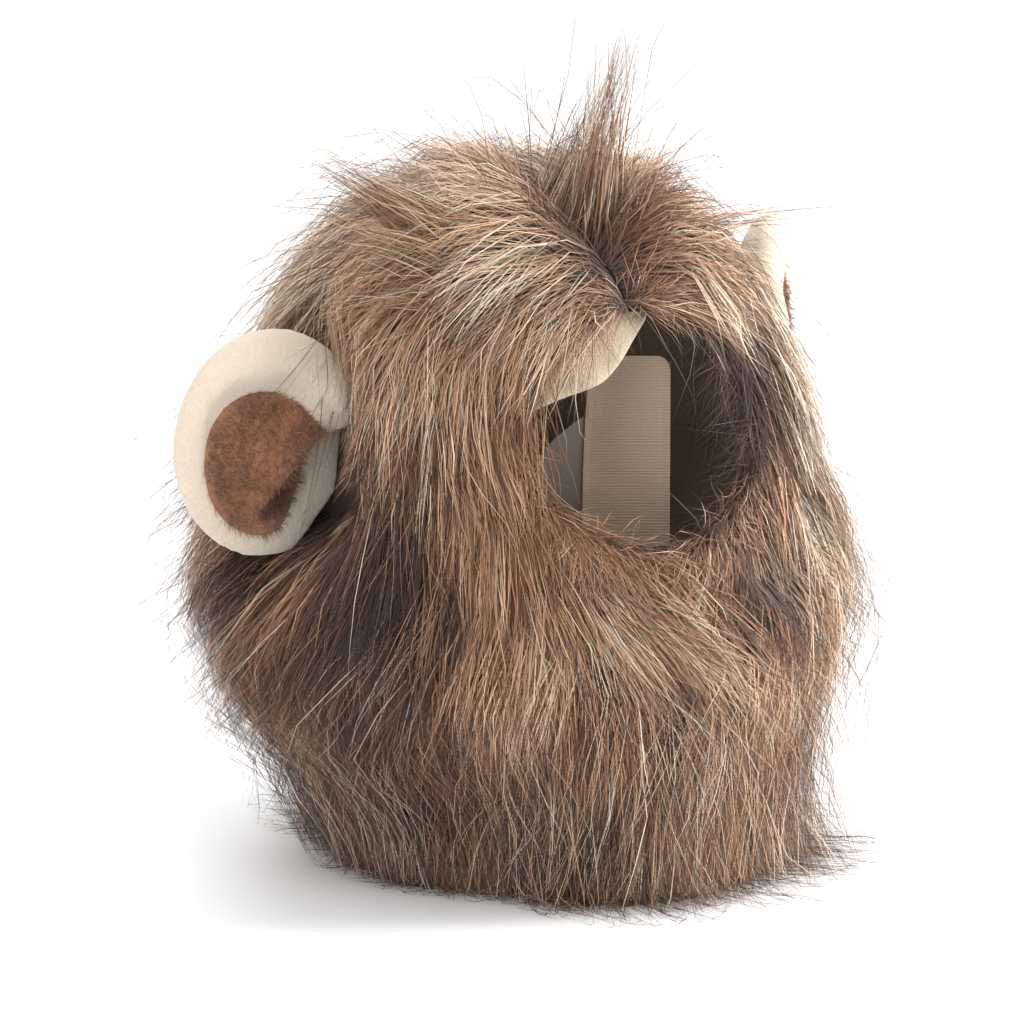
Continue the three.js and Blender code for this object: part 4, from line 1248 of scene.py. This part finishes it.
def earBody(which):
    rings, columns = earMesh["rings"], earMesh["columns"]
    radii = np.sin(np.arange(1, rings + 1) / rings * math.pi / 2)
    angles = np.arange(columns) / columns * 2 * math.pi
    r, a = np.meshgrid(radii, angles, indexing="ij")
    shrink = -earMesh["shrink"]
    frontPoints = earSurface(r, a, True, shrink).reshape(-1, 3)
    backPoints = earSurface(r[:-1], a[:-1], False, shrink).reshape(-1, 3)
    poles = np.stack([earSurface(np.zeros(1), np.zeros(1), True, shrink)[0],
                      earSurface(np.zeros(1), np.zeros(1), False, shrink)[0]])
    points = np.concatenate([poles, frontPoints, backPoints])
    front = (2 + np.arange(rings * columns)).reshape(rings, columns).tolist()
    back = (2 + rings * columns + np.arange((rings - 1) * columns)).reshape(rings - 1, columns).tolist()
    faces = discFaces(0, front)
    faces += [(face[0], *face[:0:-1]) for face in discFaces(1, back + front[-1:])]
    if ear[which]["side"] < 0:
        faces = [tuple(reversed(f)) for f in faces]
    return meshPiece(f"padded_ear_{which}", outOfEar(points, which), faces)


def puff(piece):
    # the filling swells the cloth a little, and its points may move only so far
    modify(piece, "REMESH", mode="VOXEL", voxel_size=earMesh["voxel"])
    before = pointsOf(piece)
    only(piece)
    cloth = piece.modifiers.new("filling", "CLOTH")
    for key, value in filling.items():
        setattr(cloth.settings, key, value)
    cloth.settings.effector_weights.gravity = 0
    cloth.collision_settings.use_collision = False
    scene = bpy.context.scene
    for spans in (cloth.point_cache, scene):
        spans.frame_start, spans.frame_end = 1, earMesh["frames"]
    for number in range(1, earMesh["frames"] + 1):
        scene.frame_set(number)
    bpy.ops.object.modifier_apply(modifier="filling")
    scene.frame_set(1)
    move = pointsOf(piece) - before
    size = np.linalg.norm(move, axis=1, keepdims=True)
    setPoints(piece, before + move * np.minimum(1, earMesh["cap"] / np.maximum(size, 1e-9)))
    modify(piece, "SMOOTH", factor=0.5, iterations=3)
    modify(piece, "SUBSURF", levels=1, render_levels=1)
    piece.data.polygons.foreach_set("use_smooth", [True] * len(piece.data.polygons))
    piece.data.update()


def earPatch(which, body):
    # plush laid on the ear's face, over the crease too
    rings, columns = patch["rings"], patch["columns"]
    tree = BVHTree.FromObject(body, bpy.context.evaluated_depsgraph_get())
    place = earPlaces[which]
    forward = Vector(place[:3, 2])
    radii = np.arange(0, rings + 1) / rings
    points = []
    for ring, radius in enumerate(radii):
        for column in range(columns if ring else 1):
            angle = column / columns * 2 * math.pi
            x = ear["radius"] + patch["shiftX"] + patch["wide"] * radius * math.cos(angle)
            y = patch["shiftY"] + patch["tall"] * radius * math.sin(angle)
            above = outOfEar(np.array([[x, y, 0.06]]), which)[0] + hoodMiddle
            hit = tree.ray_cast(Vector(above), -forward)
            out = patch["out"] if ring < rings else patch["edgeOut"]
            points.append(np.array(hit[0] + forward * out) - hoodMiddle)
    faces = discFaces(0, (1 + np.arange(rings * columns)).reshape(rings, columns).tolist())
    if ear[which]["side"] < 0:
        faces = [tuple(reversed(f)) for f in faces]
    piece = meshPiece(f"plush_patch_{which}", points, faces)
    modify(piece, "SMOOTH", factor=0.5, iterations=2)
    foldEar(piece, which)
    modify(piece, "SOLIDIFY", thickness=patch["thickness"], offset=-1)
    return piece


plush = clothFinish("brown_plush", (520.0, 5.0, 0.7), (60.0, 4.0, 0.6),
                    ((100, 60, 40), (182, 120, 84), (196, 140, 104)), (1, 0.5, 0.8, 0.0016),
                    lit=(0.35, 0.7, 0.5), cloudRise=(0.3, 0.7),
                    Roughness=0.9, Sheen_Weight=0.5, Sheen_Roughness=0.45)
napFinish = Finish("plush_nap", Roughness=0.8, Sheen_Weight=0.3)
hair = napFinish.node("ShaderNodeAttribute", {"attribute_name": "hair"})
parts = napFinish.node("ShaderNodeSeparateColor", None, {0: hair}, 1)
napFinish.feed("Base Color", napFinish.ramp(parts, [(0.0, colour(82, 46, 30)), (0.5, colour(146, 92, 64)),
                                                   (1.0, colour(206, 154, 122))]))


def napOn(which, piece):
    count = nap[which]
    mesh = piece.data
    mesh.calc_loop_triangles()
    forward = Vector(earPlaces[which][:3, 2])
    triangles = [t for t in mesh.loop_triangles if t.normal.dot(forward) > 0.15]
    areas = np.array([t.area for t in triangles])
    chosen = random.choice(len(triangles), count, p=areas / areas.sum())
    weights = random.dirichlet((1, 1, 1), count)
    corner = np.array([[mesh.vertices[v].co for v in t.vertices] for t in triangles])
    normal = np.array([t.normal for t in triangles])[chosen]
    foot = np.einsum("ij,ijk->ik", weights, corner[chosen]) - hoodMiddle
    direction = unit(normal + random.normal(0, nap["lean"], (count, 3)) + down * 0.25)
    length = random.uniform(nap["shortest"], nap["longest"], count)
    curves = np.stack([foot, foot + direction * length[:, None] * 0.55,
                       foot + direction * length[:, None] + down * (length * nap["hang"])[:, None]], axis=1)
    width = random.uniform(nap["thinnest"], nap["thickest"], count)
    tone = varied(count, 0.5, 0.25, 0, 1)
    napPiece = ribbonPiece(f"plush_nap_{which}", curves, width, tone, np.zeros(count))
    napFinish.dress(napPiece)
    return napPiece


earPieces = {}
for which in ("left", "right"):
    body = earBody(which)
    puff(body)
    cover = earPatch(which, body)
    foldEar(body, which)
    restOnWall(body)
    napPiece = napOn(which, cover)
    fleece.dress(body)
    plush.dress(cover)
    earPieces[which] = (body, cover, napPiece)
print("ears done")

# ---- hide the parts that the new pieces stand for, and hang the pieces on the root body

for side, panel in panels:
    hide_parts(f"fur_panel_{panel}")
    hairPieces = [piece for own, piece in maneParts if own == side]
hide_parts("hood_lining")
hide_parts("closing_flap")
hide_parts("hook_strip")
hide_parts("forehead_band")
for which, (body, cover, napPiece) in earPieces.items():
    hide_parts(f"ear_{which}")
    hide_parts(f"ear_patch_{which}")
ridden = [piece for side, piece in maneParts] + list(backings.values()) + \
    [lining, closingFlap, hookStrip, foreheadBand]
ridden += [piece for group in earPieces.values() for piece in group]
for piece in ridden:
    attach(piece, "root")

# ---- floor, light and camera

bpy.ops.object.select_all(action="DESELECT")
bpy.ops.mesh.primitive_plane_add(size=40)
floor = bpy.context.object
floor.name = "floor"
floorFinish = Finish("pale_floor", Roughness=0.6)
floorFinish.shader.inputs["Base Color"].default_value = (0.93, 0.93, 0.94, 1)
floorFinish.dress(floor)

world = bpy.data.worlds.new("studio")
bpy.context.scene.world = world
world.use_nodes = True
world.node_tree.nodes["Background"].inputs["Color"].default_value = (1, 1, 1, 1)
world.node_tree.nodes["Background"].inputs["Strength"].default_value = 1.0


def softLight(name, place, size, watts, aim=(0, 0, 0.13)):
    light = bpy.data.lights.new(name, "AREA")
    light.shape = "DISK"
    light.size = size
    light.energy = watts
    lamp = bpy.data.objects.new(name, light)
    lamp.location = place
    lamp.rotation_euler = (Vector(aim) - Vector(place)).to_track_quat("-Z", "Y").to_euler()
    bpy.context.scene.collection.objects.link(lamp)


softLight("key", (-0.8, -1.0, 1.7), 0.9, 10)
softLight("side", (1.6, -0.7, 1.1), 0.9, 48)
softLight("back", (0.3, 1.4, 1.6), 1.0, 16)

camera = {"azimuth": -31, "elevation": 11, "distance": 3.0, "lens": 281.25, "aimHeight": 0.135,
          "right": -0.0109, "up": -0.0049}
azimuth, elevation = math.radians(camera["azimuth"]), math.radians(camera["elevation"])
backwards = Vector((math.sin(azimuth) * math.cos(elevation), -math.cos(azimuth) * math.cos(elevation),
                    math.sin(elevation)))
rightwards = Vector((math.cos(azimuth), math.sin(azimuth), 0))
upwards = backwards.cross(rightwards)
aim = Vector(hoodMiddle) + Vector((0, 0, camera["aimHeight"])) \
    + rightwards * camera["right"] + upwards * camera["up"]
lens = bpy.data.cameras.new("camera")
lens.lens = camera["lens"]
lens.sensor_width = 36
lens.clip_start = 0.1
lens.clip_end = 60
view = bpy.data.objects.new("camera", lens)
view.matrix_world = Matrix.Translation(aim + backwards * camera["distance"]) @ \
    Matrix((rightwards, upwards, backwards)).transposed().to_4x4()
bpy.context.scene.collection.objects.link(view)
bpy.context.scene.camera = view
bpy.context.scene.view_settings.view_transform = "Standard"
